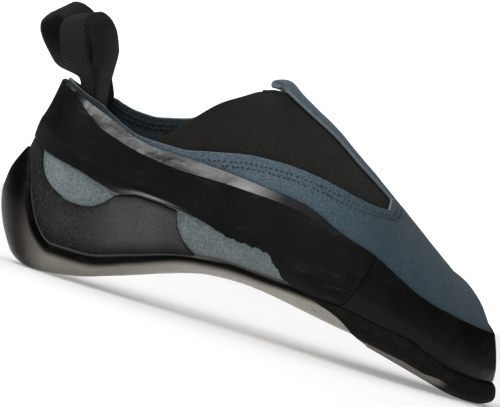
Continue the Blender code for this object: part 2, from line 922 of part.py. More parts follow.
# Pull loops: webbing sewn inside the collar at the heel, standing up in an open loop
LOOP_HEIGHT = {OUTER_SIDE: 0.0362, INNER_SIDE: 0.041}
LOOP_PATH = (
    ("row", "out", "up", "shift"),
    (0, 0, -0.36, -0.1),
    (1, 0, -0.18, -0.1),
    (2, 0, 0.0, -0.1),
    (3, -0.05, 0.14, -0.09),
    (4, -0.12, 0.32, -0.07),
    (5, -0.2, 0.52, -0.04),
    (6, -0.26, 0.72, 0),
    (7, -0.23, 0.88, 0),
    (8, -0.11, 0.98, 0),
    (9, 0.07, 1.0, 0),
    (10, 0.21, 0.92, 0.02),
    (11, 0.27, 0.75, 0.05),
    (12, 0.25, 0.54, 0.07),
    (13, 0.18, 0.33, 0.09),
    (14, 0.11, 0.14, 0.1),
    (15, 0.06, 0.0, 0.1),
    (16, 0.06, -0.18, 0.1),
    (17, 0.06, -0.36, 0.1),
)
LOOP_OUT = read_table(LOOP_PATH, "out")
LOOP_UP = read_table(LOOP_PATH, "up")
LOOP_SHIFT = read_table(LOOP_PATH, "shift")
HEEL_ARC = 0.034
LOOP_PLACE = 0.0287
LOOP_DEPTH = 0.0031
LOOP_BEND = 0.003
LOOP_TWIST = 0.55
ACROSS = (-0.5, -0.17, 0.17, 0.5)
LOOP_LEAN = {OUTER_SIDE: math.radians(23), INNER_SIDE: math.radians(44)}
LOOP_SWING = math.radians(39)


def along_from_back(distance):
    """Station at a distance round the collar from the heel's back."""
    if distance < HEEL_ARC:
        return distance / HEEL_ARC - 1
    return (distance - HEEL_ARC) / LAST_RUN


def loop_point(side, row, across):
    """Middle of the webbing at a row of the loop, at a share of its width."""
    size = LOOP_HEIGHT[side]
    height = size * LOOP_UP(row)
    out = size * LOOP_OUT(row)
    shift = size * LOOP_SHIFT(row) + WEBBING_WIDTH * across
    deep = SUEDE + EDGE_GAP + 0.5 * WEBBING
    if row > 8.5:
        deep += WEBBING + CLEARANCE
    wall_along = along_from_back(LOOP_PLACE + shift)
    wall_height = collar_height(wall_along, side) + min(height, 0.0)
    wall = lifted(wall_along, side, turn_at(wall_along, side, wall_height), -deep)
    if height <= 0:
        return wall
    centre = along_from_back(LOOP_PLACE)
    base = lifted(centre, side, turn_at(centre, side, collar_height(centre, side)), -LOOP_DEPTH)
    lean = LOOP_LEAN[side]
    up = Vector((-math.sin(lean), 0, math.cos(lean)))
    wide = Vector((math.cos(LOOP_SWING) * math.cos(lean), side * math.sin(LOOP_SWING),
                   math.cos(LOOP_SWING) * math.sin(lean)))
    away = wide.cross(up).normalized()
    if away.y * side > 0:
        away = -away
    soft = LOOP_BEND * (1 - math.exp(-height / LOOP_BEND))
    rise = up * (height - soft) + Vector((0, 0, soft))
    free = base + away * out + wide * shift
    return wall.lerp(free, ease(height / (LOOP_TWIST * size))) + rise


def build_loop(name, side):
    mesh = Mesh()
    rows = spread(0, 17, 22)
    grid = [[mesh.corner(loop_point(side, row, across)) for across in ACROSS] for row in rows]
    for i in range(len(rows) - 1):
        for j in range(len(ACROSS) - 1):
            mesh.face([grid[i][j], grid[i + 1][j], grid[i + 1][j + 1], grid[i][j + 1]])
    piece = mesh.build(name, WEBBING_BLACK, 0.8)
    webbing = piece.modifiers.new("webbing", "SOLIDIFY")
    webbing.thickness = WEBBING
    webbing.offset = 0.0


build_loop("pull_loop_lateral", OUTER_SIDE)
build_loop("pull_loop_medial", INNER_SIDE)
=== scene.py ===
"""Looks of the climbing shoe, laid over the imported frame.

Every visible piece is made on the same last surface as the frame, at a finer step.
"""
import math

import bmesh
import bpy
import numpy as np
from mathutils import Matrix, Vector


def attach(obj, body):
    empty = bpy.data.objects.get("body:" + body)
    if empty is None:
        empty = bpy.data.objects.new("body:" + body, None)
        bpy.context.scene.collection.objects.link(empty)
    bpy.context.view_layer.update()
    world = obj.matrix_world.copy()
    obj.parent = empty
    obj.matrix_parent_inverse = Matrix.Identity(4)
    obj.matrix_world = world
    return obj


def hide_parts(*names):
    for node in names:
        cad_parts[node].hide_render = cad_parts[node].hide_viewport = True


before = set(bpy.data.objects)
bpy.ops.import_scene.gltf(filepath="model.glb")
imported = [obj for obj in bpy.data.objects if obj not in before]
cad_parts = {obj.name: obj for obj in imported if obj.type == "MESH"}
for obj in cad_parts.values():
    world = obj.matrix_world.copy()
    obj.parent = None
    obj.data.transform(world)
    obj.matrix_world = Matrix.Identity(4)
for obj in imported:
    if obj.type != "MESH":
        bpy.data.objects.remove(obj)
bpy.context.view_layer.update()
COARSE = 1
MM = 0.001
SHARP_ANGLE = math.radians(50)

# Last sizes, in metres
BALL_WIDTH = 0.0865
INSTEP_HEIGHT = 0.112
LAST_RUN = 0.174
HEEL_AXIS_X = 0.002
TOE_TIP_Y = 0.013

# Wall and layer sizes, in metres
SUEDE = 0.0016
ELASTIC = 0.0011
BOARD = 0.0022
CUP_RUBBER = 0.0012
RAND_RUBBER = 0.0017
BAND_EDGE = 0.0013
BAND_HEEL = 0.0022
BAND_SIDE = 0.0034
BAND_FRONT = 0.0018
BAND_FOOT = 0.0016
BED = 0.0002
WEBBING = 0.0012
WEBBING_WIDTH = 0.0145
HEEL_SOLE = 0.0049
ARCH_SOLE = 0.0040
TOE_SOLE = 0.0061
OPENING_HEEL = 0.36
OPENING_ARCH = 0.25
OPENING_BALL = 0.42

GORE_REAR = 0.1684
GORE_FRONT = 0.7931
TAB_END = 0.4138
OUTER_SIDE = -1
INNER_SIDE = 1
BOTH = (OUTER_SIDE, INNER_SIDE)


def curve(*pairs):
    """Give a function through points, smooth and without overshoot."""
    place, value = np.array(pairs, float).T
    step = np.diff(place)
    rise = np.diff(value) / step
    slope = np.zeros(len(place))
    slope[0] = rise[0]
    slope[-1] = rise[-1]
    for i in range(1, len(place) - 1):
        if rise[i - 1] * rise[i] > 0:
            slope[i] = 2 * rise[i - 1] * rise[i] / (rise[i - 1] + rise[i])

    def read(at):
        at = np.clip(at, place[0], place[-1])
        i = np.clip(np.searchsorted(place, at, side="right") - 1, 0, len(step) - 1)
        u = (at - place[i]) / step[i]
        lift = value[i] * (1 + 2 * u) * (1 - u) ** 2
        lift = lift + value[i + 1] * (3 - 2 * u) * u * u
        lift = lift + step[i] * slope[i] * u * (1 - u) ** 2
        return lift - step[i] * slope[i + 1] * u * u * (1 - u)

    return read


def curves(*rows):
    """Give one function for each column after the first, which is the place."""
    return [curve(*[(row[0], row[column]) for row in rows]) for column in range(1, len(rows[0]))]


def height_line(*pairs):
    """Give a function that reads an edge line in metres above the floor."""
    read = curve(*pairs)
    return lambda along: INSTEP_HEIGHT * read(along)


# Last, as shares of the ball width, from 0 at the heel axis to 1 at the toe axis: station, outer and
# inner half width, centre, level of the widest point, power of the curve below and above it, lean
OUTER_WIDTH, INNER_WIDTH, CENTRE, WIDEST, LOW_POWER, TOP_POWER, LEAN = curves(
    (0, 0.3295, 0.3295, 0, 0.298, 2.5, 2.2, 0), (0.0747, 0.3457, 0.3457, 0, 0.3, 2.5, 2.2, 0),
    (0.1609, 0.3503, 0.3457, 0, 0.303, 2.5, 2.15, 0),
    (0.2759, 0.3399, 0.326, -0.0058, 0.284, 2.4, 2.1, 0.0058),
    (0.3908, 0.3434, 0.3145, -0.0116, 0.265, 2.3, 2, 0.0173),
    (0.5057, 0.3815, 0.3526, -0.0116, 0.235, 2.3, 1.95, 0.0289),
    (0.592, 0.4301, 0.4023, -0.0058, 0.242, 2.4, 1.95, 0.0347),
    (0.6782, 0.474, 0.4486, 0, 0.259, 2.5, 2, 0.0405),
    (0.7644, 0.4994, 0.489, 0.0173, 0.273, 2.6, 2, 0.0462),
    (0.8218, 0.5006, 0.4971, 0.0347, 0.288, 2.6, 2.05, 0.0462),
    (0.908, 0.4809, 0.474, 0.0578, 0.304, 2.6, 2.1, 0.0405),
    (1, 0.4393, 0.4254, 0.0925, 0.344, 2.6, 2.1, 0.0289))

# Bottom and ridge lines at stations, as shares of the instep height
BOTTOM, RIDGE = curves(
    (0, 0.0438, 1.0357), (0.0747, 0.0625, 1.0268), (0.1609, 0.1, 1.0089), (0.2759, 0.1607, 0.9777),
    (0.3448, 0.1964, 0.9607), (0.3966, 0.2152, 0.9589), (0.431, 0.2205, 0.9804),
    (0.4598, 0.2223, 0.9929), (0.4943, 0.2223, 0.9732), (0.5517, 0.2161, 0.9286),
    (0.6138, 0.2036, 0.8777), (0.681, 0.1866, 0.8063), (0.7471, 0.1705, 0.742),
    (0.8144, 0.1571, 0.6714), (0.881, 0.1357, 0.6018), (0.9483, 0.1107, 0.5304), (1, 0.0911, 0.4768))

# Rounded heel and toe: turn, reach as a share of the ball width, height as a share of the instep's
HEEL_REACH, HEEL_BACK = curves(
    (0, 0, 0.0438), (0.1, 0.0751, 0.0464), (0.2, 0.1214, 0.0554), (0.3, 0.1491, 0.0696),
    (0.4, 0.1688, 0.0897), (0.5, 0.1896, 0.1152), (0.6, 0.2127, 0.1464), (0.7, 0.2335, 0.1821),
    (0.8, 0.252, 0.2241), (0.9, 0.2647, 0.2723), (1, 0.2671, 0.3393), (1.07, 0.2451, 0.4286),
    (1.112, 0.2324, 0.4821), (1.18, 0.2185, 0.5589), (1.234, 0.1988, 0.6134), (1.32, 0.1769, 0.7009),
    (1.38, 0.1676, 0.7518), (2, 0.104, 1.0357))
TOE_REACH, TOE_FRONT = curves(
    (0, 0, 0.0911), (0.1, 0.1098, 0.0696), (0.2, 0.185, 0.0589), (0.3, 0.2486, 0.0563),
    (0.4, 0.2925, 0.0616), (0.5, 0.3225, 0.075), (0.6, 0.3364, 0.0938), (0.7, 0.341, 0.1125),
    (0.85, 0.3376, 0.1411), (1, 0.3237, 0.1857), (1.2, 0.2821, 0.2732), (1.4, 0.2277, 0.3446),
    (1.6, 0.1642, 0.4018), (1.8, 0.0879, 0.4482), (1.9, 0.0405, 0.4661), (2, 0, 0.4768))

# Edge lines: station, -1 at the heel's back and 2 at the toe tip, and share of the instep height
SOLE_TOP = height_line(
    (-1, 0.4554), (-0.7778, 0.4357), (-0.5822, 0.3893), (-0.4667, 0.3339), (-0.3333, 0.2464),
    (-0.2444, 0.1893), (-0.0889, 0.1411), (0, 0.1304), (0.0776, 0.1304), (0.1994, 0.1804),
    (0.3201, 0.2375), (0.3707, 0.25), (0.4483, 0.2589), (0.5287, 0.2536), (0.6063, 0.25),
    (0.677, 0.2393), (0.7489, 0.2348), (0.8517, 0.2098), (0.9368, 0.1893), (1, 0.1536),
    (1.3333, 0.1179), (1.6, 0.1071), (2, 0.1036))
COLLAR_TOP = height_line(
    (-1, 0.7643), (-0.7222, 0.7571), (-0.4556, 0.7429), (-0.2778, 0.7321), (-0.1333, 0.7214),
    (0, 0.7134), (0.0155, 0.7071), (0.054, 0.6777), (0.0943, 0.6491), (0.1328, 0.6304),
    (0.1684, 0.6268), (0.2425, 0.6277), (0.3195, 0.6518), (0.4345, 0.6875), (0.5126, 0.6929),
    (0.5966, 0.683), (0.6609, 0.6652), (0.7253, 0.6446), (0.7701, 0.6375), (0.7931, 0.6393))
COLLAR_TOP_INNER = height_line(
    (-1, 0.7643), (-0.7222, 0.7571), (-0.4556, 0.7464), (-0.2778, 0.7402), (-0.1333, 0.7375),
    (0, 0.7366), (0.042, 0.7357), (0.0626, 0.7259), (0.1046, 0.7134), (0.1443, 0.7116),
    (0.1943, 0.7277), (0.2425, 0.75), (0.2678, 0.7732), (0.2816, 0.7554), (0.3, 0.7321),
    (0.3333, 0.7107), (0.3908, 0.6964), (0.4713, 0.6929), (0.5287, 0.6902), (0.5966, 0.683),
    (0.6609, 0.6652), (0.7253, 0.6446), (0.7701, 0.6375), (0.7931, 0.6393))
RUBBER_TOP = height_line(
    (-1, 0.7527), (-0.7222, 0.7455), (-0.4556, 0.7304), (-0.2778, 0.717), (-0.1333, 0.7045),
    (0, 0.6911), (0.0184, 0.6821), (0.0575, 0.6598), (0.096, 0.6366), (0.1345, 0.6161),
    (0.1868, 0.6045), (0.2534, 0.6018), (0.3546, 0.5973), (0.4172, 0.5902), (0.4632, 0.5839),
    (0.531, 0.575), (0.6011, 0.5554), (0.692, 0.4964), (0.7908, 0.4491), (0.8713, 0.3893),
    (0.9333, 0.3473), (1, 0.3214), (1.3333, 0.3), (1.6, 0.2893), (2, 0.2821))
RUBBER_TOP_INNER = height_line(
    (0.6782, 0.5089), (0.7908, 0.4554), (0.8713, 0.4152), (0.9333, 0.3946), (1, 0.3929),
    (1.1667, 0.3911), (1.3333, 0.3804), (1.5, 0.3607), (1.6667, 0.3339), (1.8333, 0.3018), (2, 0.2821))
STEP_TOP = height_line(
    (-1, 0.7429), (-0.7222, 0.7366), (-0.4556, 0.7223), (-0.3111, 0.7107), (-0.1889, 0.6929),
    (-0.0889, 0.6679), (0, 0.6464), (0.0379, 0.6107), (0.0862, 0.5857), (0.1443, 0.5634),
    (0.1966, 0.5518), (0.2649, 0.5437), (0.3655, 0.5446), (0.4713, 0.5411), (0.5385, 0.5357),
    (0.6011, 0.5232), (0.692, 0.4696), (0.7908, 0.425))
STEP_LOW = height_line(
    (-1, 0.5732), (-0.7778, 0.5661), (-0.5556, 0.5491), (-0.3333, 0.5259), (-0.1667, 0.5071),
    (0, 0.4893), (0.0563, 0.4661), (0.1207, 0.4473), (0.1891, 0.4357), (0.3385, 0.4125),
    (0.5075, 0.3839), (0.6207, 0.3259), (0.7908, 0.2991))
BAND_BOTTOM = height_line(
    (-1, 0.5), (-0.7222, 0.4875), (-0.4778, 0.4625), (-0.2222, 0.4455), (0, 0.4321), (0.0632, 0.4089),
    (0.1241, 0.3893), (0.1816, 0.4071), (0.2425, 0.4036), (0.3448, 0.383), (0.4305, 0.3518),
    (0.5259, 0.3429), (0.5575, 0.308), (0.5954, 0.2652), (0.6207, 0.2554))
CUP_EDGE = height_line(
    (-1, 0.4964), (-0.7222, 0.4839), (-0.5111, 0.4589), (-0.4444, 0.425), (-0.36, 0.3875),
    (-0.2133, 0.3446), (-0.0333, 0.3134), (0.0374, 0.3009), (0.0672, 0.308), (0.1006, 0.3411),
    (0.1241, 0.3804), (0.1494, 0.3946), (0.1816, 0.4036), (0.2425, 0.4), (0.2759, 0.3929))

# Half width of the centre strip at stations, as a share of the ball width
STRIP_HALF = curve(
    (0.4138, 0.0578), (0.4253, 0.0855), (0.4397, 0.1064), (0.4713, 0.1191), (0.5345, 0.1249),
    (0.6207, 0.1295), (0.7069, 0.1295), (0.7931, 0.1179))


def blend(start, end, share):
    return start + (end - start) * share


def ease(share):
    """Share from 0 to 1 with a soft start and end."""
    share = np.clip(share, 0.0, 1.0)
    return share * share * (3 - 2 * share)


def section(along, side, turn):
    """Points of the upright sections; turn 0 is under the last, 2 on its ridge."""
    bottom = INSTEP_HEIGHT * BOTTOM(along)
    ridge = INSTEP_HEIGHT * RIDGE(along)
    share = WIDEST(along)
    half = BALL_WIDTH * np.where(side < 0, OUTER_WIDTH(along), INNER_WIDTH(along))
    quarter = 0.5 * math.pi
    low = 2 / LOW_POWER(along)
    top = 2 / TOP_POWER(along)
    low_turn = np.clip(turn, 0, 1) * quarter
    top_turn = np.clip(turn - 1, 0, 1) * quarter
    out = np.where(turn <= 1, np.sin(low_turn) ** low, np.abs(np.cos(top_turn)) ** top)
    level = np.where(turn <= 1, share * (1 - np.abs(np.cos(low_turn)) ** low),
                     share + (1 - share) * np.sin(top_turn) ** top)
    middle = BALL_WIDTH * (CENTRE(along) + LEAN(along) * level)
    x = HEEL_AXIS_X + LAST_RUN * along + 0 * turn
    return np.stack(np.broadcast_arrays(x, middle + side * half * out, blend(bottom, ridge, level)), -1)


def rounded_end(end, side, turn, angle):
    """Points of the rounded heel, end -1, or toe, end 1; angle runs from the side to the end's middle."""
    along = 0.0 * angle + (0.0 if end < 0 else 1.0)
    small = 0.02
    base = section(along, side, turn)
    slope = (base - section(along - end * small, side, turn)) / (LAST_RUN * small)
    mirror = section(along, -side, turn)
    middle = 0.5 * (base[..., 1] + mirror[..., 1])
    if end < 0:
        reach = BALL_WIDTH * HEEL_REACH(turn)
        tip_y = middle
        tip_z = INSTEP_HEIGHT * HEEL_BACK(turn)
    else:
        reach = BALL_WIDTH * TOE_REACH(turn)
        tip_y = blend(middle, TOE_TIP_Y, np.clip(TOE_REACH(turn) / TOE_REACH(0.7), 0, 1))
        tip_z = INSTEP_HEIGHT * TOE_FRONT(turn)
    u = np.sin(angle)
    cubic = u ** 3
    x = base[..., 0] + end * reach * u
    y = middle + (base[..., 1] - middle) * np.cos(angle)
    y = y + slope[..., 1] * reach * u + (tip_y - middle - slope[..., 1] * reach) * cubic
    z = base[..., 2] + slope[..., 2] * reach * u + (tip_z - base[..., 2] - slope[..., 2] * reach) * cubic
    return np.stack((x, y, z), -1)


def last_points(along, side, turn):
    """Points of the last surface, from -1 at the heel's back to 2 at the toe tip."""
    along, side, turn = np.broadcast_arrays(np.asarray(along, float), side, np.asarray(turn, float))
    side = np.where(turn < 0, -side, side)
    turn = np.abs(turn)
    side = np.where(turn > 2, -side, side)
    turn = np.where(turn > 2, 4 - turn, turn)
    side = np.where((along < -1) | (along > 2), -side, side)
    along = np.where(along < -1, -2 - along, along)
    along = np.where(along > 2, 4 - along, along)
    points = section(np.clip(along, 0, 1), side, turn)
    heel = rounded_end(-1, side, turn, np.clip(-along, 0, 1) * 0.5 * math.pi)
    toe = rounded_end(1, side, turn, np.clip(along - 1, 0, 1) * 0.5 * math.pi)
    points = np.where((along < 0)[..., None], heel, points)
    return np.where((along > 1)[..., None], toe, points)


def last_normals(along, side, turn):
    """Outward unit normals of the last surface."""
    small = 0.015
    turn = np.clip(turn, 0.004, 1.996)
    ahead = last_points(along + small, side, turn) - last_points(along - small, side, turn)
    over = last_points(along, side, turn + small) - last_points(along, side, turn - small)
    normal = np.cross(ahead, over)
    normal = normal * np.where(np.asarray(side) < 0, 1.0, -1.0)[..., None]
    normal /= np.maximum(np.linalg.norm(normal, axis=-1, keepdims=True), 1e-12)
    under = ((turn < 0.03) & ((along < 0.05) | (along > 0.95)))[..., None]
    return np.where(under, np.array((0.0, 0.0, -1.0)), normal)


def lifted(along, side, turn, lift):
    """Points at a lift in metres off the last surface."""
    along, side, turn, lift = np.broadcast_arrays(along, side, turn, lift)
    return last_points(along, side, turn) + last_normals(along, side, turn) * lift[..., None]


def turn_at(along, side, height):
    """Turns at which the last surface reaches a height at each station."""
    along, height = np.broadcast_arrays(np.asarray(along, float), np.asarray(height, float))
    low = np.where(along > 0.9, 0.3, 0.02)
    high = np.full(along.shape, 2.0)
    for _ in range(26):
        mid = 0.5 * (low + high)
        below = last_points(along, side, mid)[..., 2] < height
        low = np.where(below, mid, low)
        high = np.where(below, high, mid)
    return 0.5 * (low + high)


def opening_turn(along):
    """Edge of the opening underneath, where the insole lies."""
    rear = blend(OPENING_HEEL, OPENING_ARCH, ease(along / 0.3))
    front = blend(OPENING_ARCH, OPENING_BALL, ease((along - 0.3) / 0.4))
    return np.where(along < 0.3, rear, front)


def strip_turn(along, side):
    """Edge of the centre strip over the instep."""
    station = np.clip(along, TAB_END, 1.0)
    width = BALL_WIDTH * (OUTER_WIDTH(station) if side == OUTER_SIDE else INNER_WIDTH(station))
    share = np.clip(BALL_WIDTH * STRIP_HALF(station) / width, 0, 1)
    return 1 + np.arccos(share ** (TOP_POWER(station) / 2)) / (0.5 * math.pi)


def collar_height(along, side):
    """Height of the collar and, further on, of the gore's lower edge."""
    return COLLAR_TOP_INNER(along) if side == INNER_SIDE else COLLAR_TOP(along)


def quarter_turn(along, side):
    """Top edge of the quarters: the collar, then the lower edge of the gore."""
    station = np.minimum(along, GORE_FRONT)
    return turn_at(station, side, collar_height(station, side))


def rubber_top_turn(along, side):
    """Top edge of the rubber on either side."""
    height = RUBBER_TOP(along)
    if side == INNER_SIDE:
        height = np.where(along > 0.68, RUBBER_TOP_INNER(along), height)
    return turn_at(along, side, height)


def stretched(station, anchor, nominal, wanted):
    """Move stations past an anchor so that the nominal end lands on the wanted one."""
    moved = anchor + (station - anchor) * (wanted - anchor) / (nominal - anchor)
    return np.where((station - anchor) * (nominal - anchor) > 0, moved, station + 0 * wanted)


def steps(start, end, size, scale=1.0):
    """Even shares of a run, with a step near a size in station units."""
    count = max(2, int(round(abs(end - start) / (size * scale * COARSE))))
    return np.linspace(start, end, count + 1)


def joined(*runs):
    """One rising run of stations from several that share their ends."""
    return np.unique(np.round(np.concatenate(runs), 6))


FINE = 0.0075
HEEL_RUN = steps(-1, 0, 0.035)
SIDE_RUN = steps(0, 1, FINE)
TOE_RUN = steps(1, 2, 0.03)
ALL_ROUND = joined(HEEL_RUN, SIDE_RUN, TOE_RUN, [GORE_REAR, TAB_END, GORE_FRONT])


def arc_lengths(points, axis):
    """Running length of a grid of points along one axis."""
    step = np.linalg.norm(np.diff(points, axis=axis), axis=-1)
    pad = [(0, 0), (0, 0)]
    pad[axis] = (1, 0)
    return np.pad(np.cumsum(step, axis=axis), pad)


class Solid:
    """Points, faces and surface coordinates of one piece."""

    def __init__(self):
        self.points = []
        self.faces = []
        self.coords = []
        self.zones = []
        self.wears_and_painted_lights = []
        self.total = 0

    def sheet(self, points, coords, zone, wear_and_painted_light, kept, flip):
        """Add a grid of points, with faces where the cells are kept, and give its corner numbers."""
        number = np.arange(points.shape[0] * points.shape[1]).reshape(points.shape[:2]) + self.total
        self.points.append(points.reshape(-1, 3))
        self.coords.append(coords.reshape(-1, 2))
        self.zones.append(np.broadcast_to(zone, points.shape[:2]).reshape(-1))
        self.wears_and_painted_lights.append(np.broadcast_to(wear_and_painted_light, points.shape[:2]).reshape(-1))
        self.total += number.size
        quad = np.stack((number[:-1, :-1], number[1:, :-1], number[1:, 1:], number[:-1, 1:]), -1)
        quad = quad[kept]
        if flip:
            quad = quad[:, ::-1]
        self.faces.append(quad)
        return number

    def rim(self, inner, outer, kept, flip, sewn):
        """Close the gap between two sheets along every free edge that isn't sewn to the other half."""
        padded = np.pad(kept, 1)
        quads = []

        def strip(first, second):
            quad = np.stack((inner[first], inner[second], outer[second], outer[first]), -1)
            quads.append(quad.reshape(-1, 4))

        rows, columns = kept.shape
        for i in range(rows + 1):
            before, after = padded[i, 1:-1], padded[i + 1, 1:-1]
            if (i == 0 and "start" in sewn) or (i == rows and "end" in sewn):
                continue
            for j in np.nonzero(before != after)[0]:
                pair = ((i, j), (i, j + 1)) if after[j] else ((i, j + 1), (i, j))
                strip(*pair)
        for j in range(columns + 1):
            before, after = padded[1:-1, j], padded[1:-1, j + 1]
            if (j == 0 and "low" in sewn) or (j == columns and "high" in sewn):
                continue
            for i in np.nonzero(before != after)[0]:
                pair = ((i + 1, j), (i, j)) if after[i] else ((i, j), (i + 1, j))
                strip(*pair)
        if quads:
            quads = np.concatenate(quads)
            self.faces.append(quads[:, ::-1] if not flip else quads)

    def build(self, name, material, node):
        """Make the piece; the second of two materials goes where the zone is above 1."""
        points = np.concatenate(self.points)
        coords = np.concatenate(self.coords)
        marks = {"zone": np.concatenate(self.zones), "wear_and_painted_light": np.concatenate(self.wears_and_painted_lights)}
        faces = [face for group in self.faces for face in group.tolist()]
        data = bpy.data.meshes.new(name)
        data.from_pydata(points.tolist(), [], faces)
        layer = data.uv_layers.new(name="surface")
        corner = np.empty(len(data.loops), np.int32)
        data.loops.foreach_get("vertex_index", corner)
        layer.data.foreach_set("uv", coords[corner].astype(np.float32).ravel())
        for key, values in marks.items():
            mark = data.attributes.new(key, "FLOAT", "POINT")
            mark.data.foreach_set("value", values.astype(np.float32))
        if isinstance(material, tuple):
            zones = marks["zone"]
            upper = [int(min(zones[corner] for corner in face) > 1.0) for face in faces]
            data.polygons.foreach_set("material_index", upper)
            for one in material:
                data.materials.append(one)
        else:
            data.materials.append(material)
        work = bmesh.new()
        work.from_mesh(data)
        bmesh.ops.remove_doubles(work, verts=work.verts, dist=1e-6)
        bmesh.ops.dissolve_degenerate(work, dist=1e-7, edges=work.edges)
        bmesh.ops.recalc_face_normals(work, faces=work.faces)
        work.to_mesh(data)
        work.free()
        data.shade_smooth()
        data.set_sharp_from_angle(angle=SHARP_ANGLE)
        piece = bpy.data.objects.new(name, data)
        bpy.context.scene.collection.objects.link(piece)
        if node:
            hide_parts(node)
        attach(piece, "root")
        return piece


def near(distance, width):
    """Share that falls from 1 at a line to 0 at a width in mm from it."""
    return np.clip(1 - distance / (width * MM), 0, 1)


def away_from(distance, width):
    """Share that rises from 0 at a line to 1 at a width in mm from it."""
    return np.clip(distance / (width * MM), 0, 1)


def rounding(distance, radius):
    """Height share of a rounded edge at a distance in from it."""
    inside = np.clip(distance / radius, 0, 1)
    return np.sqrt(1 - (1 - inside) ** 2)


def span(along, side, low, high, count, near_low=(), near_high=()):
    """Turns from one line to another, with extra rows at distances (mm) from either line."""
    low, high = np.broadcast_to(low, along.shape), np.broadcast_to(high, along.shape)
    shares = np.linspace(0, 1, 22)[None, :]
    length = arc_lengths(last_points(along, side, blend(low, high, shares)), 1)[:, -1:]
    length = np.maximum(length, 0.3 * MM)
    room = np.maximum(length, 3.4 * max(near_low + near_high + (0.01,)) * MM)
    first = np.array((0.0,) + near_low) * MM / room
    last = 1 - np.array((0.0,) + near_high)[::-1] * MM / room
    inner = np.linspace(0, 1, count + 1)[1:-1][None, :]
    middle = first[:, -1:] + (last[:, :1] - first[:, -1:]) * inner
    return blend(low, high, np.concatenate((first, middle, last), 1))


def stacked(*spans):
    """One run of rows from spans that share their end lines, and the row number of each line."""
    lines = [0]
    for one in spans:
        lines.append(lines[-1] + one.shape[1] - 1)
    return np.concatenate([spans[0]] + [one[:, 1:] for one in spans[1:]], 1), lines


def edge_distances(along, side, turn):
    """Distances over the surface from the four borders of a grid."""
    points = last_points(along, side, turn)
    over = arc_lengths(points, 1)
    ahead = arc_lengths(points, 0)
    return {"low": over, "high": over[:, -1:] - over, "start": ahead, "end": ahead[-1:, :] - ahead}


def ripple(points, size, height, seed):
    """Soft seeded waves at points in space, of a size and a height in mm."""
    draw = np.random.default_rng(seed)
    total = np.zeros(points.shape[:-1])
    for _ in range(9):
        direction = draw.normal(size=3)
        direction /= np.linalg.norm(direction)
        rate = 2 * math.pi / (size * MM) * draw.uniform(0.6, 1.5)
        total += np.sin(points @ direction * rate + draw.uniform(0, 2 * math.pi))
    return total / 4.5 * height * MM


# Creases and dents of the suede: side, station and turn of the start and of the end, half width and
# height in mm
CREASES = (
    (OUTER_SIDE, 0.815, 1.62, 0.86, 1.42, 2.6, -0.35), (OUTER_SIDE, 0.80, 1.40, 0.88, 1.28, 3.4, -0.30),
    (OUTER_SIDE, 0.90, 1.80, 0.93, 1.50, 3.6, -0.40), (OUTER_SIDE, 0.96, 1.85, 0.985, 1.45, 3.2, 0.35),
    (OUTER_SIDE, 0.62, 1.30, 0.70, 1.22, 3.0, -0.28), (OUTER_SIDE, 0.50, 1.30, 0.57, 1.22, 3.0, -0.20),
    (OUTER_SIDE, 1.05, 1.80, 1.35, 1.50, 3.0, -0.30), (INNER_SIDE, 0.815, 1.62, 0.86, 1.42, 2.6, -0.35),
    (INNER_SIDE, 0.83, 1.38, 0.90, 1.26, 3.4, -0.35), (INNER_SIDE, 0.90, 1.80, 0.93, 1.50, 3.6, -0.35),
    (INNER_SIDE, 0.96, 1.85, 0.985, 1.45, 3.2, 0.30), (INNER_SIDE, 0.62, 1.32, 0.70, 1.22, 3.0, -0.28),
    (INNER_SIDE, 0.48, 1.32, 0.56, 1.22, 3.0, -0.22),
)


def crease_lift(points, side):
    """Height of the soft troughs and ridges at points of one half."""
    lift = np.zeros(points.shape[:-1])
    for of_side, along_a, turn_a, along_b, turn_b, width, depth in CREASES:
        if of_side != side:
            continue
        share = np.linspace(0, 1, 15)
        way = last_points(blend(along_a, along_b, share), of_side, blend(turn_a, turn_b, share))
        strength = np.sin(math.pi * blend(0.08, 0.92, share)) ** 0.7
        best = np.zeros(lift.shape)
        for point, power in zip(way, strength):
            away = np.linalg.norm(points - point, axis=-1) / (width * MM)
            best = np.maximum(best, power * np.exp(-away ** 2))
        lift += depth * MM * best
    return lift


def over_last(name, sides, grid, skin, material, node, sewn=(), kept=None):
    """Piece on the last.

    grid(side) gives stations and turns; skin(along, turn, side, away) gives the two lifts, the zone of
    the outside and a mark of its edges: light cut edges of the suede, light rubber edges that are partly
    rubbed and partly a painted highlight, and painted shade on the elastic.
    """
    solid = Solid()
    for side in sides:
        along, turn = grid(side)
        away = edge_distances(along, side, turn)
        low, high, zone, wear_and_painted_light = np.broadcast_arrays(*skin(along, turn, side, away))
        inner = lifted(along, side, turn, low)
        outer = lifted(along, side, turn, high)
        inner[..., 2] = np.maximum(inner[..., 2], 0.0)
        outer[..., 2] = np.maximum(outer[..., 2], 0.0)
        cells = np.ones((outer.shape[0] - 1, outer.shape[1] - 1), bool)
        if kept:
            cells = kept(along, turn, side)
        coords = np.stack((away["start"], away["low"]), -1)
        flip = side == INNER_SIDE
        outside = solid.sheet(outer, coords, zone, wear_and_painted_light, cells, flip)
        inside = solid.sheet(inner, coords, -1.0 + 0 * zone, wear_and_painted_light, cells, not flip)
        solid.rim(inside, outside, cells, flip, sewn)
    return solid.build(name, material, node)


# Node materials


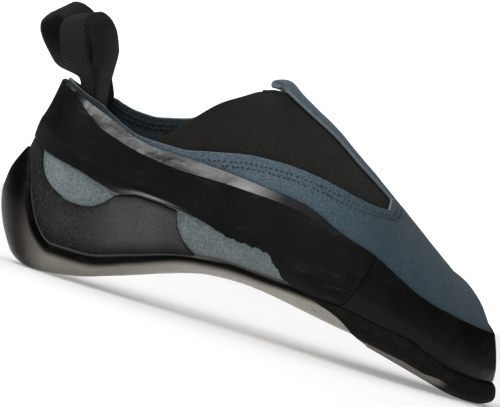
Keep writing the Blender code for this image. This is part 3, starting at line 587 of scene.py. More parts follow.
class Nodes:
    """Short way to write a node material; base is its colour so far."""

    def __init__(self, name, rough, spec=0.5, sheen=0.0, sheen_rough=0.5, coat_rough=0.2):
        self.material = bpy.data.materials.new(name)
        self.material.use_nodes = True
        self.tree = self.material.node_tree
        self.shader = self.tree.nodes["Principled BSDF"].inputs
        self.shader["Roughness"].default_value = rough
        self.shader["Specular IOR Level"].default_value = spec
        self.shader["Sheen Weight"].default_value = sheen
        self.shader["Sheen Roughness"].default_value = sheen_rough
        self.shader["Coat Roughness"].default_value = coat_rough
        where = self.tree.nodes.new("ShaderNodeTexCoord")
        self.space = where.outputs["Object"]
        self.surface = where.outputs["UV"]
        self.base = None

    def put(self, socket, value):
        """Link a socket, or set its value."""
        if isinstance(value, bpy.types.NodeSocket):
            self.tree.links.new(value, socket)
        else:
            socket.default_value = value

    def add(self, kind, output, inputs, **settings):
        """Give one output of a new node with its settings and inputs."""
        node = self.tree.nodes.new("ShaderNode" + kind)
        for key, value in settings.items():
            setattr(node, key, value)
        for key, value in inputs.items():
            self.put(node.inputs[key], value)
        return node.outputs[output]

    def attribute(self, name):
        return self.add("Attribute", "Fac", {}, attribute_name=name)

    def noise(self, scale, detail, rough, vector=None):
        inputs = {"Scale": scale, "Detail": detail, "Roughness": rough, "Vector": vector or self.space}
        return self.add("TexNoise", "Fac", inputs)

    def waves(self, scale, direction, vector, distort, detail_scale):
        inputs = {"Scale": scale, "Distortion": distort, "Detail Scale": detail_scale, "Vector": vector}
        return self.add("TexWave", "Fac", inputs, bands_direction=direction)

    def moved(self, vector, scale=(1, 1, 1), turn=0.0):
        return self.add("Mapping", "Vector", {"Vector": vector, "Scale": scale, "Rotation": (0, 0, turn)})

    def times(self, first, second):
        return self.add("Math", 0, {0: first, 1: second}, operation="MULTIPLY")

    def plus(self, first, second):
        return self.add("Math", 0, {0: first, 1: second}, operation="ADD")

    def fit(self, value, low, high, start=0.0, end=1.0):
        """Map a value from low and high to start and end."""
        inputs = {"Value": value, "From Min": low, "From Max": high, "To Min": start, "To Max": end}
        return self.add("MapRange", "Result", inputs)

    def mix(self, share, first, second):
        first, second = [(*one, 1.0) if isinstance(one, tuple) else one for one in (first, second)]
        return self.add("Mix", 2, {0: share, 6: first, 7: second}, data_type="RGBA")

    def over(self, share, colour):
        """Lay a colour over the base."""
        self.base = self.mix(share, self.base, colour)

    def done(self, *layers):
        """Material with its base and its bumps in order, each a height with its depth in metres."""
        self.put(self.shader["Base Color"], self.base)
        bump = None
        for height, depth in layers:
            inputs = {"Strength": 1.0, "Distance": depth, "Height": height}
            if bump:
                inputs["Normal"] = bump
            bump = self.add("Bump", "Normal", inputs)
        if bump:
            self.put(self.shader["Normal"], bump)
        return self.material


def suede_material(name):
    """Blue-grey suede; zone 1 is the bare leather at the heel and arch, below 0 is the inside."""
    paint = Nodes(name, 0.95, spec=0.08, sheen=0.07, sheen_rough=0.6)
    zone = paint.attribute("zone")
    ahead = paint.add("SeparateXYZ", "X", {0: paint.space})
    nap = paint.noise(1250, 3.0, 0.75)
    patch = paint.noise(95, 4.0, 0.6)
    brushed = paint.noise(330, 3.0, 0.6, paint.moved(paint.space, (1, 1, 2.2)))
    grain = paint.noise(980, 2.0, 0.55)
    tone = paint.fit(patch, 0.32, 0.68)
    raised = paint.fit(nap, 0.44, 0.66, 0, 0.75)
    sunk = paint.fit(nap, 0.44, 0.30, 0, 0.75)
    paint.base = paint.mix(tone, (0.060, 0.095, 0.121), (0.080, 0.119, 0.147))
    paint.over(paint.fit(brushed, 0.45, 0.8, 0, 0.45), (0.100, 0.141, 0.168))
    paint.over(raised, (0.120, 0.163, 0.190))
    paint.over(sunk, (0.022, 0.034, 0.046))
    paint.over(paint.fit(grain, 0.52, 0.62, 0, 0.34), (0.165, 0.222, 0.255))
    paint.over(paint.fit(grain, 0.46, 0.36, 0, 0.30), (0.018, 0.030, 0.042))
    # Painted shade: the suede is darker and bluer towards the toe, where the vamp faces up, and darker
    # towards the heel's back.
    paint.over(paint.fit(ahead, 0.085, 0.140, 0, 0.62), (0.014, 0.033, 0.048))
    paint.over(paint.fit(ahead, 0.036, 0.006, 0, 0.85), (0.010, 0.013, 0.016))
    bare = paint.mix(tone, (0.100, 0.130, 0.138), (0.140, 0.172, 0.180))
    bare = paint.mix(raised, bare, (0.270, 0.305, 0.310))
    bare = paint.mix(sunk, bare, (0.050, 0.066, 0.074))
    paint.over(paint.fit(zone, 0.4, 0.6), bare)
    inside = paint.mix(paint.fit(nap, 0.38, 0.68), (0.024, 0.038, 0.048), (0.078, 0.106, 0.124))
    paint.over(paint.fit(zone, -0.6, -0.2, 1, 0), inside)
    cut = paint.fit(paint.attribute("wear_and_painted_light"), 0.5, 0.95)
    paint.over(paint.times(cut, paint.fit(nap, 0.3, 0.6, 0.35, 0.8)), (0.24, 0.285, 0.32))
    return paint.done((nap, 0.0002), (grain, 0.00025), (brushed, 0.0002), (patch, 0.0004))


def elastic_material(name):
    """Ribbed black elastic, with painted shade along the edge of the strip over the instep."""
    paint = Nodes(name, 0.85, spec=0.1, sheen=0.03)
    ribs = paint.waves(560, "X", paint.moved(paint.surface, turn=math.radians(-58)), 0.5, 3.0)
    cross = paint.waves(300, "X", paint.moved(paint.surface, turn=math.radians(22)), 0.8, 3.0)
    fuzz = paint.noise(1400, 3.0, 0.7)
    patch = paint.noise(120, 3.0, 0.5)
    paint.base = paint.mix(ribs, (0.0070, 0.0066, 0.0058), (0.0265, 0.0256, 0.0212))
    paint.over(paint.fit(cross, 0.2, 0.9, 0, 0.4), (0.0090, 0.0085, 0.0075))
    paint.over(paint.fit(fuzz, 0.46, 0.66, 0, 0.5), (0.040, 0.039, 0.032))
    paint.over(paint.fit(patch, 0.45, 0.75, 0, 0.3), (0.0085, 0.0085, 0.0085))
    # Painted shade along the strip's edge, from the edge mark.
    paint.over(paint.fit(paint.attribute("wear_and_painted_light"), 0, 1, 0, 0.85), (0.0015, 0.0015, 0.0015))
    return paint.done((ribs, 0.00025), (cross, 0.0001), (fuzz, 0.00008))


def band_material(name):
    """Black rubber of the band; zone 1 is its flat middle, with painted shade below it, and below 0 a
    painted highlight streak.
    """
    paint = Nodes(name, 0.42, spec=0.09)
    zone = paint.attribute("zone")
    grain = paint.noise(900, 3.0, 0.6)
    patch = paint.noise(60, 4.0, 0.6)
    scuff = paint.noise(240, 5.0, 0.65, paint.moved(paint.space, (0.35, 1, 1.5)))
    dust = paint.add("TexVoronoi", "Distance", {"Scale": 330, "Vector": paint.space})
    tone = paint.fit(patch, 0.3, 0.7)
    paint.base = paint.mix(tone, (0.0040, 0.0039, 0.0045), (0.0074, 0.0072, 0.0080))
    # Painted shade: darker below the flat middle, where the band faces down.
    paint.over(paint.times(paint.fit(zone, 0.6, 0.4), 0.8), (0.0022, 0.0022, 0.0025))
    rubbed = paint.times(paint.fit(scuff, 0.56, 0.72), paint.fit(patch, 0.42, 0.62))
    paint.over(paint.times(rubbed, 0.4), (0.070, 0.067, 0.065))
    paint.over(paint.fit(dust, 0.04, 0.08, 0.35, 0), (0.08, 0.08, 0.08))
    # Light edges and lines along the flat middle: painted highlights, partly rubbing.
    paint.over(paint.fit(paint.attribute("wear_and_painted_light"), 0.3, 0.9, 0, 0.30), (0.075, 0.073, 0.070))
    # Painted highlight: a light streak where the zone is below 0.
    paint.over(paint.times(paint.fit(zone, 0, -1), paint.fit(patch, 0.3, 0.6, 0.6, 1)), (0.33, 0.33, 0.34))
    rough = paint.plus(paint.fit(patch, 0.3, 0.7, 0.38, 0.52), paint.times(rubbed, 0.25))
    paint.put(paint.shader["Roughness"], rough)
    return paint.done((grain, 0.00004), (scuff, 0.00014), (patch, 0.0004))


def strip_material(name):
    """Glossy slanting strip along the band's top; zone 2 is the glossiest. Its lighter smoky patches are
    partly rubbing and partly a painted brown-grey reflection.
    """
    paint = Nodes(name, 0.3, coat_rough=0.16)
    zone = paint.attribute("zone")
    patch = paint.noise(75, 4.0, 0.6)
    smoke = paint.noise(170, 4.0, 0.6, paint.moved(paint.space, (0.6, 1, 1.6)))
    grain = paint.noise(1100, 3.0, 0.6)
    # Lighter at the glossy rear and in smoky patches, a painted brown-grey reflection that is partly
    # rubbing; darker towards the front, where that reflection fades.
    paint.base = paint.mix(paint.fit(patch, 0.3, 0.7), (0.0085, 0.0075, 0.0072), (0.0210, 0.0185, 0.0180))
    paint.over(paint.fit(zone, 1.15, 1.6, 1, 0), (0.0085, 0.0083, 0.0090))
    paint.over(paint.fit(smoke, 0.50, 0.75, 0, 0.30), (0.085, 0.078, 0.076))
    # Painted highlight along the edges.
    paint.over(paint.fit(paint.attribute("wear_and_painted_light"), 0.3, 0.9, 0, 0.25), (0.10, 0.098, 0.095))
    paint.put(paint.shader["Specular IOR Level"], paint.fit(zone, 1.1, 1.8, 0.09, 0.65))
    paint.put(paint.shader["Coat Weight"], paint.fit(zone, 1.2, 1.9, 0, 0.3))
    rough = paint.plus(paint.fit(smoke, 0.35, 0.7, 0.22, 0.42), paint.fit(zone, 1.1, 1.6, 0.14, 0))
    paint.put(paint.shader["Roughness"], rough)
    return paint.done((grain, 0.00004), (smoke, 0.0002), (patch, 0.0005))


def rubber_material(name, main, light, glow, rough, speck, spec, shine=0.0, edge=0.8):
    """Smooth moulded rubber with a fine speckle, soft cloudy wear, light edges that are partly rubbed and
    partly a painted highlight, and a painted glow where the zone is set.
    """
    paint = Nodes(name, rough, spec=spec)
    zone = paint.attribute("zone")
    grain = paint.noise(1500, 3.0, 0.7)
    patch = paint.noise(62, 4.0, 0.6)
    streak = paint.noise(260, 5.0, 0.65, paint.moved(paint.space, (0.4, 1, 1.6)))
    paint.base = paint.mix(paint.fit(patch, 0.3, 0.7), main, light)
    # Painted light: the glow colour goes where the zone is set.
    paint.over(paint.times(zone, paint.fit(patch, 0.3, 0.7, 0.65, 1)), glow)
    paint.over(paint.fit(grain, 0.52, 0.64, 0, speck), tuple(4.5 * value for value in light))
    paint.over(paint.fit(grain, 0.46, 0.34, 0, speck), tuple(0.3 * value for value in main))
    worn = paint.times(paint.fit(streak, 0.55, 0.72), paint.fit(patch, 0.42, 0.65))
    paint.over(paint.times(worn, 0.22), (0.075, 0.070, 0.064))
    # Light edges: partly rubbing, partly a painted highlight.
    paint.over(paint.fit(paint.attribute("wear_and_painted_light"), 0.35, 0.95, 0, edge), (0.17, 0.165, 0.155))
    if shine:
        paint.put(paint.shader["Specular IOR Level"], paint.fit(zone, 0.1, 1, spec, shine))
    smear = paint.fit(patch, 0.3, 0.7, rough - 0.05, rough + 0.08)
    paint.put(paint.shader["Roughness"], paint.plus(smear, paint.times(worn, 0.2)))
    return paint.done((grain, 0.00003 + 0.00014 * speck), (streak, 0.00014), (patch, 0.0005))


def sole_material(name):
    """Forefoot sole: smooth rand at the top, then the sanded side, then a light band along the lowest edge
    that is a painted reflection of the floor.
    """
    paint = Nodes(name, 0.6, spec=0.12)
    zone = paint.attribute("zone")
    grain = paint.noise(1500, 3.0, 0.75)
    sanded = paint.noise(420, 4.0, 0.7, paint.moved(paint.surface, (0.22, 1.5, 1)))
    patch = paint.noise(75, 4.0, 0.6)
    paint.base = paint.mix(paint.fit(patch, 0.3, 0.7), (0.0042, 0.0040, 0.0038), (0.0075, 0.0070, 0.0064))
    side = paint.times(paint.fit(zone, 0.9, 1.1), paint.fit(zone, 2.1, 1.9))
    paint.over(paint.times(side, paint.fit(sanded, 0.50, 0.72, 0, 0.4)), (0.040, 0.036, 0.030))
    # Painted reflection of the floor: the lowest edge is light brown.
    low = paint.times(paint.fit(zone, 1.9, 2.2), paint.fit(grain, 0.3, 0.7, 0.6, 1))
    paint.over(low, (0.230, 0.210, 0.180))
    # Light top edge: partly rubbing, partly a painted highlight.
    paint.over(paint.fit(paint.attribute("wear_and_painted_light"), 0.3, 0.9, 0, 0.6), (0.13, 0.12, 0.11))
    paint.put(paint.shader["Roughness"], paint.fit(side, 0, 1, 0.5, 0.78))
    return paint.done((grain, 0.00012), (sanded, 0.0003), (patch, 0.0004))


def webbing_material(name):
    """Ribbed webbing; zone 1 is its lighter inner face."""
    paint = Nodes(name, 0.8, spec=0.15, sheen=0.05, sheen_rough=0.4)
    ribs = paint.waves(250, "X", paint.surface, 0.15, 2.0)
    weft = paint.waves(190, "Y", paint.surface, 0.3, 2.0)
    fuzz = paint.noise(1700, 3.0, 0.7)
    paint.base = paint.mix(ribs, (0.0040, 0.0036, 0.0032), (0.0150, 0.0132, 0.0115))
    paint.over(paint.fit(weft, 0.2, 0.9, 0, 0.35), (0.0060, 0.0055, 0.0048))
    inner = paint.mix(ribs, (0.011, 0.0105, 0.010), (0.034, 0.032, 0.030))
    paint.over(paint.fit(paint.attribute("zone"), 0.4, 0.6), inner)
    paint.over(paint.fit(fuzz, 0.45, 0.8, 0, 0.3), (0.035, 0.032, 0.03))
    return paint.done((ribs, 0.0003), (weft, 0.00012), (fuzz, 0.00006))


def thread_material(name, colour, light):
    paint = Nodes(name, 0.6, spec=0.35, sheen=0.1)
    twist = paint.noise(2600, 2.0, 0.6)
    paint.base = paint.mix(twist, colour, light)
    return paint.done((twist, 0.0001))


def board_material(name):
    """Woven face of the insole."""
    paint = Nodes(name, 0.9, spec=0.2, sheen=0.1)
    weave, weft = [paint.waves(420, direction, paint.surface, 0.6, 3.0) for direction in "XY"]
    patch = paint.noise(60, 4.0, 0.6)
    paint.base = paint.mix(weave, (0.030, 0.034, 0.038), (0.070, 0.078, 0.085))
    paint.over(paint.fit(weft, 0.2, 0.9, 0, 0.4), (0.035, 0.04, 0.044))
    paint.over(paint.fit(patch, 0.4, 0.7, 0, 0.5), (0.025, 0.026, 0.028))
    return paint.done((weave, 0.0002), (weft, 0.0002), (patch, 0.0004))


suede = suede_material("blue_suede")
elastic = elastic_material("black_elastic")
band_rubber = band_material("band_rubber")
strip_rubber = strip_material("strip_rubber")
rand_rubber = rubber_material("rand_rubber", (0.0034, 0.0034, 0.0037), (0.0056, 0.0055, 0.0055),
                              (0.010, 0.010, 0.010), 0.44, 0.05, 0.14, edge=0.6)
# The glow colours are painted light: a soft highlight on the cup and a reflection of the floor on the heel
# sole.
cup_rubber = rubber_material("cup_rubber", (0.0075, 0.0074, 0.0073), (0.0130, 0.0127, 0.0125),
                             (0.104, 0.101, 0.098), 0.80, 0.75, 0.1, edge=0.35)
heel_rubber = rubber_material("heel_rubber", (0.0024, 0.0021, 0.0019), (0.0042, 0.0037, 0.0032),
                              (0.360, 0.325, 0.275), 0.30, 0.08, 0.05, 0.9)
sole_rubber = sole_material("sole_rubber")
webbing = webbing_material("black_webbing")
dark_thread = thread_material("dark_thread", (0.004, 0.006, 0.009), (0.016, 0.021, 0.027))
board = board_material("insole_cloth")

# Upper

GAP_EDGE = (0.15, 0.35, 0.65, 1.1, 1.8)
TAB_ROUND = 0.0075
past_edge = np.array(GAP_EDGE) * MM / LAST_RUN
UPPER_STATIONS = joined(HEEL_RUN, steps(0, TAB_END, FINE), TAB_END + past_edge,
                        steps(TAB_END, GORE_FRONT, FINE), GORE_FRONT + past_edge,
                        steps(GORE_FRONT, 1, FINE), TOE_RUN)
FRONT_INDEX = int(np.argmin(np.abs(UPPER_STATIONS - GORE_FRONT)))
TAB_INDEX = int(np.argmin(np.abs(UPPER_STATIONS - TAB_END)))
upper_lines = []


def upper_grid(side):
    """Stations and turns; it keeps the row numbers of the quarter's and the strip's edge in upper_lines."""
    along = UPPER_STATIONS[:, None]
    edge = quarter_turn(along, side)
    strip = np.maximum(strip_turn(along, side), edge + 0.02)
    rows = 46 // COARSE
    turn, lines = stacked(
        span(along, side, opening_turn(along), edge, rows, (), GAP_EDGE),
        span(along, side, edge, strip, rows // 2, (), ()),
        span(along, side, strip, 2.0, rows // 4, GAP_EDGE, ()))
    upper_lines[:] = lines
    along = along + 0 * turn
    share = np.clip((2.0 - turn) / np.maximum(2.0 - strip, 0.02), 0, 1)
    back = TAB_ROUND / LAST_RUN * (1 - np.sqrt(1 - (0.96 * share) ** 2))
    fade = np.clip(1 - (along - TAB_END) / 0.11, 0, 1) ** 2 * (along >= TAB_END - 1e-6)
    rows_up = np.arange(turn.shape[1])[None, :] >= lines[2]
    return along + back * fade * rows_up, turn


def upper_opening(along, away, side):
    """Distance over the surface to the edge of the collar and gore opening."""
    below = away["low"][:, upper_lines[1]:upper_lines[1] + 1] - away["low"]
    above = away["low"] - away["low"][:, upper_lines[2]:upper_lines[2] + 1]
    ahead = np.maximum(away["start"] - away["start"][FRONT_INDEX:FRONT_INDEX + 1, :], 0)
    tab = np.maximum(away["start"] - away["start"][TAB_INDEX:TAB_INDEX + 1, :], 0)
    row = np.arange(along.shape[1])[None, :]
    lower = np.hypot(np.maximum(below, 0), ahead)
    upper = np.minimum(np.hypot(np.maximum(above, 0), ahead), tab)
    return np.where(row <= upper_lines[1], lower, np.where(row < upper_lines[2], ahead, upper))


def upper_skin(along, turn, side, away):
    """Suede with soft waves, creases, a thicker tab at the strip's rear end and rounded cut edges."""
    gap = upper_opening(along, away, side)
    points = last_points(along, side, turn)
    wave = ripple(points, 26, 0.22, 4) + ripple(points, 9, 0.07, 9)
    above_rubber = (turn - rubber_top_turn(along, side)) * 45 * MM
    soft = away_from(above_rubber, 4)
    lift = (wave + crease_lift(points, side)) * soft * np.clip(gap / (2 * MM), 0.15, 1)
    thick = np.exp(-((along - TAB_END - 0.025) / 0.045) ** 2) * (turn > strip_turn(along, side) - 0.01)
    tab = 2.1 * MM * thick
    radius = 0.55 * MM + 1.3 * MM * thick
    cut = radius * (1 - rounding(gap, radius))
    wear_and_painted_light = near(gap - 0.12 * MM, 0.55)
    heel = np.where(turn < turn_at(along, side, BAND_BOTTOM(along) + 2 * MM), 1.0, 0.0)
    window = heel * (along < 0.66)
    return -SUEDE + cut, lift + tab - cut, window, wear_and_painted_light


def upper_cells(along, turn, side):
    """Cells of the grid that are suede, not the opening of the collar and the gore."""
    rows = np.arange(along.shape[1] - 1)[None, :]
    station = np.arange(along.shape[0] - 1)[:, None]
    lower = rows < upper_lines[1]
    middle = (rows >= upper_lines[1]) & (rows < upper_lines[2]) & (station >= FRONT_INDEX)
    top = (rows >= upper_lines[2]) & (station >= TAB_INDEX)
    return lower | middle | top


over_last("upper_skin", BOTH, upper_grid, upper_skin, suede, "upper",
          ("start", "end", "high"), upper_cells)

# Insole

BOARD_GAP = 0.01


def board_grid(side):
    along = ALL_ROUND[:, None]
    turn = span(along, side, 0.0, opening_turn(along) - BOARD_GAP, 18 // COARSE, (), (0.2, 0.5))
    return along + 0 * turn, turn


def board_skin(along, turn, side, away):
    edge = rounding(away["high"], 0.6 * MM)
    return -BOARD + 0.4 * MM * (1 - edge), 0.0, 0.0, 0.0


over_last("insole_board", BOTH, board_grid, board_skin, board, "insole", ("start", "end", "low"))

# Soles

# Place where the soles meet, and their depth, from row 0 underneath to 1 at the top edge
JOIN = curve(
    (0, 0.85), (0.4, 0.838), (0.6, 0.816), (0.76, 0.79), (0.88, 0.742), (0.96, 0.68), (1, 0.64))
HEEL_DEPTH = curve(
    (0, 1), (0.6, 1.02), (0.8, 1.06), (0.92, 0.92), (0.97, 0.66), (1, 0.4))
TOE_DEPTH = curve(
    (0, 1), (0.4, 1.04), (0.6, 1.14), (0.76, 1.25), (0.88, 0.83), (0.96, 0.47), (1, 0.3))
JOIN_GAP = 0.006
HEEL_SOLE_END = 0.75
TOE_SOLE_START = 0.78
CLOSE = np.array((0.12, 0.3, 0.6, 1.0)) * MM / LAST_RUN


def sole_grid(side, stations, anchor, end, gap):
    """Stations past the anchor are moved so that the sole's end lies on the join, less a gap."""
    station = stations[:, None]
    edge = turn_at(station, side, SOLE_TOP(station))
    row = span(station, side, 0.0, edge, 56 // COARSE, (), (0.12, 0.3, 0.55, 0.9)) / edge
    along = stretched(station, anchor, end, JOIN(row) - gap)
    return along, row * turn_at(along, side, SOLE_TOP(along))


def heel_sole_grid(side):
    stations = joined(HEEL_RUN, steps(0, HEEL_SOLE_END, FINE), HEEL_SOLE_END - CLOSE)
    return sole_grid(side, stations, 0.36, HEEL_SOLE_END, JOIN_GAP)


def heel_sole_skin(along, turn, side, away):
    row = turn / turn_at(along, side, SOLE_TOP(along))
    depth = blend(HEEL_SOLE, ARCH_SOLE, ease(along / 0.3)) * HEEL_DEPTH(row)
    edge = rounding(away["high"], 0.55 * MM) * rounding(away["end"], 0.8 * MM)
    points = last_points(along, side, turn)
    wave = ripple(points, 14, 0.09, 21) * away_from(away["high"], 2)
    wave = wave * (points[..., 2] > 6 * MM)
    # Painted highlight: a thin light line along the sole's top edge.
    wear_and_painted_light = np.clip(1.4 - away["high"] / (0.24 * MM), 0, 1)
    # Painted reflection of the floor: the zone is set on the underside, below the sole's top edge.
    outer = lifted(along, side, turn, BED + depth)[..., 2]
    drop = outer[:, -1:] - outer
    start = blend(3.0, 1.2, ease((along - 0.1) / 0.3)) * MM
    under = ease((drop - start) / (3 * MM)) * ease((along + 0.5) / 0.6)
    return BED, BED + depth * edge + wave, under * (0.7 + 0.3 * ease((along - 0.1) / 0.25)), wear_and_painted_light


over_last("heel_arch_sole", BOTH, heel_sole_grid, heel_sole_skin, heel_rubber, "heel_sole",
          ("start", "low"))


def toe_sole_grid(side):
    stations = joined(TOE_SOLE_START + CLOSE, steps(TOE_SOLE_START, 1, FINE), TOE_RUN)
    return sole_grid(side, stations, 0.94, TOE_SOLE_START, 0.0)


def toe_sole_skin(along, turn, side, away):
    row = turn / turn_at(along, side, SOLE_TOP(along))
    depth = TOE_SOLE * TOE_DEPTH(row)
    edge = rounding(away["high"], 0.5 * MM) * rounding(away["start"], 0.8 * MM)
    # Painted reflection of the floor: the lowest 3.8 mm of the sole get a zone near 2.
    outer = lifted(along, side, turn, BED + depth)[..., 2]
    lowest = outer.min(axis=1, keepdims=True)
    low = np.clip((lowest + 3.8 * MM - outer) / (0.6 * MM), 0, 1)
    zone = np.clip((1 - row) / 0.06, 0, 1) + low * ease((1.5 - along) / 0.5)
    # Light top edge: partly rubbing, partly a painted highlight.
    wear_and_painted_light = near(away["high"], 0.5) * 0.6
    return BED, BED + depth * edge, 0.35 + zone, wear_and_painted_light


over_last("toe_half_sole", BOTH, toe_sole_grid, toe_sole_skin, sole_rubber, "forefoot_sole",
          ("end", "low"))

# Heel cup

# Front edge of the cup: row, station
CUP_END = curve(
    (0, 0.356), (0.25, 0.331), (0.5, 0.31), (0.75, 0.293), (1, 0.281))
CUP_STATION = 0.2425
EDGE_GAP = 0.0002


def cup_grid(side):
    station = joined(HEEL_RUN, steps(0, CUP_STATION, FINE), CUP_STATION - CLOSE)[:, None]
    inner = np.linspace(0, 1, 30 // COARSE)[1:-1]
    row = np.unique(np.concatenate(([0, 0.012, 0.03], inner, [0.97, 0.988, 1])))[None, :]
    along = stretched(station, 0.155, CUP_STATION, CUP_END(row))
    low = turn_at(along, side, SOLE_TOP(along) + EDGE_GAP)
    high = turn_at(along, side, np.minimum(CUP_EDGE(along), BAND_BOTTOM(along) - EDGE_GAP))
    return along, blend(low, high, row)


def cup_skin(along, turn, side, away):
    edge = rounding(away["high"], 0.5 * MM) * rounding(away["end"], 0.6 * MM)
    edge = edge * rounding(away["low"], 0.3 * MM)
    points = last_points(along, side, turn)
    wave = ripple(points, 17, 0.12, 31) * away_from(away["high"], 3)
    wear_and_painted_light = near(np.minimum(away["high"], away["end"]), 0.5) * 0.35
    # Painted soft highlight: lighter in the cup's middle, most towards its front.
    middle = ease(away["low"] / (9 * MM)) * away_from(away["high"], 3)
    glow = middle * (0.22 * ease((along + 0.5) / 0.7) + 0.78 * np.exp(-((along - 0.21) / 0.11) ** 2))
    return BED, BED + (CUP_RUBBER + wave) * edge, glow, wear_and_painted_light


over_last("heel_cup_skin", BOTH, cup_grid, cup_skin, cup_rubber, "heel_cup", ("start",))

# Tension band

BAND_FRONT_TOP = 0.7908
BAND_FRONT_LOW = 0.7437
FLAT_OFF_LOW = 0.002
FLAT_OFF_TOP = 0.0008


def band_turns(along, side):
    """Turns of the band's lower edge, of both edges of its flat middle and of its top edge."""
    low = np.maximum(BAND_BOTTOM(along), SOLE_TOP(along) + EDGE_GAP)
    low = np.where(along > 0.62, SOLE_TOP(along) + EDGE_GAP, low)
    ragged = np.exp(-((along - 0.5) / 0.12) ** 4) * 0.55 * MM
    low = low + ragged * (np.sin(along * 190) * 0.6 + np.sin(along * 430 + 1) * 0.4) * (along < 0.6)
    top = RUBBER_TOP(along)
    flat_low = np.maximum(STEP_LOW(along), low + FLAT_OFF_LOW)
    flat_top = np.minimum(STEP_TOP(along), top - FLAT_OFF_TOP)
    return [turn_at(along, side, height) for height in (low, flat_low, flat_top, top)]


def band_lift(along, row):
    """How far the band's face stands off the last."""
    side = blend(BAND_SIDE, BAND_FRONT, ease((along - 0.45) / 0.3))
    middle = np.where(along < 0, blend(BAND_HEEL, BAND_SIDE, ease(along + 1)), side)
    foot = blend(BAND_FOOT, BAND_FRONT, ease((along - 0.5) / 0.2))
    foot = foot + 0.0026 * np.exp(-((along - 0.215) / 0.075) ** 2)
    top = blend(BAND_EDGE, BAND_FRONT, ease((along - 0.5) / 0.25))
    low = blend(foot, middle, np.clip(row, 0, 1))
    return np.where(row > 2, blend(middle, top, np.clip(row - 2, 0, 1)), low)


def band_turn(along, side, row):
    lines = band_turns(along, side)
    turn = lines[0] + 0 * row
    for index in range(3):
        turn = turn + (lines[index + 1] - lines[index]) * np.clip(row - index, 0, 1)
    return turn


def close_rows(parts):
    """Rows of the band: whole numbers are its lines, with close rows at each."""
    rows = [0, 0.02, 0.05, 0.1]
    for start in range(3):
        inner = np.linspace(start, start + 1, parts + 1)[1:-1].tolist()
        rows += inner + [start + 0.02, start + 0.98, start + 1]
    return np.unique(np.array(rows + [2.9, 2.95]))


BAND_ROWS = close_rows(14 // COARSE)


def band_grid(side):
    station = joined(HEEL_RUN, steps(0, BAND_FRONT_TOP, FINE * 0.8), BAND_FRONT_TOP - CLOSE)[:, None]
    row = BAND_ROWS[None, :]
    at = np.array([[0.76]])
    rise = band_turn(at, side, row) - band_turn(at, side, 0)
    rise = rise / (band_turn(at, side, 3) - band_turn(at, side, 0))
    along = stretched(station, 0.69, BAND_FRONT_TOP, blend(BAND_FRONT_LOW, BAND_FRONT_TOP, rise))
    return along, band_turn(along, side, row)


def band_skin(along, turn, side, away):
    row = BAND_ROWS[None, :] + 0 * along
    edge = rounding(away["high"], 0.45 * MM) * rounding(away["low"], 0.7 * MM)
    edge = edge * rounding(away["end"], 0.12 * MM)
    points = last_points(along, side, turn)
    wave = ripple(points, 20, 0.10, 41) + ripple(points, 7, 0.03, 43)
    wave = wave * away_from(np.minimum(away["high"], away["low"]), 3)
    # Light edges, partly rubbing and partly a painted highlight, and painted highlight lines along both
    # edges of the flat middle.
    wear_and_painted_light = np.clip(1 - np.minimum(away["high"] / 0.5, away["low"] / 0.8) / MM, 0, 1)
    for line in (1, 2):
        wear_and_painted_light = np.maximum(wear_and_painted_light, 0.5 * np.clip(1 - np.abs(row - line) / 0.03, 0, 1))
    zone = np.clip((row - 0.99) / 0.02, 0, 1) + np.clip((row - 1.99) / 0.02, 0, 1)
    zone = np.where(row > 2, 1 + ease((0.57 - along) / 0.17), zone)
    # Painted highlight: a soft light streak on the lower slope, set as a zone below 0.
    streak = np.exp(-((along - 0.205) / 0.055) ** 2)
    streak = streak * np.exp(-((row - 0.22 - 1.2 * (along - 0.2)) / 0.2) ** 2)
    zone = np.where(row < 0.95, -streak, zone)
    return BED, BED + (band_lift(along, row) + wave) * edge, zone, wear_and_painted_light


over_last("band_skin", BOTH, band_grid, band_skin, (band_rubber, strip_rubber), "tension_band",
          ("start",))

# Toe rand

SEAM_GAP = 0.00012


def rand_grid(side):
    station = joined(BAND_FRONT_TOP + CLOSE, steps(BAND_FRONT_TOP, 1, FINE), TOE_RUN)[:, None]
    row = np.unique(np.concatenate(([0.01, 0.03, 0.97, 0.985], np.linspace(0, 1, 36 // COARSE))))[None, :]
    wanted = blend(BAND_FRONT_LOW, BAND_FRONT_TOP, row) + SEAM_GAP
    along = stretched(station, 0.88, BAND_FRONT_TOP, wanted)
    low = turn_at(along, side, SOLE_TOP(along) + EDGE_GAP)
    high = rubber_top_turn(along, side)
    return along, blend(low, high, row)


def rand_skin(along, turn, side, away):
    edge = rounding(away["high"], 0.6 * MM) * rounding(away["start"], 0.12 * MM)
    points = last_points(along, side, turn)
    wave = ripple(points, 22, 0.10, 51)
    wave = wave * away_from(np.minimum(away["high"], away["low"]), 3)
    wear_and_painted_light = near(away["high"], 0.5) * 0.5
    return BED, BED + (RAND_RUBBER + wave) * edge, 0.0, wear_and_painted_light


over_last("rand_skin", BOTH, rand_grid, rand_skin, rand_rubber, "toe_rand", ("end",))

# Gores

# Rear edge of the gores: row, station on the outer and on the inner side
GORE_EDGE = dict(zip(BOTH, curves(
    (0, 0.1684, 0.268), (0.12, 0.215, 0.29), (0.3, 0.262, 0.315), (0.5, 0.308, 0.343),
    (0.75, 0.362, 0.375), (1, 0.396, 0.396))))
GORE_END = 0.815
UNDER = 0.0003


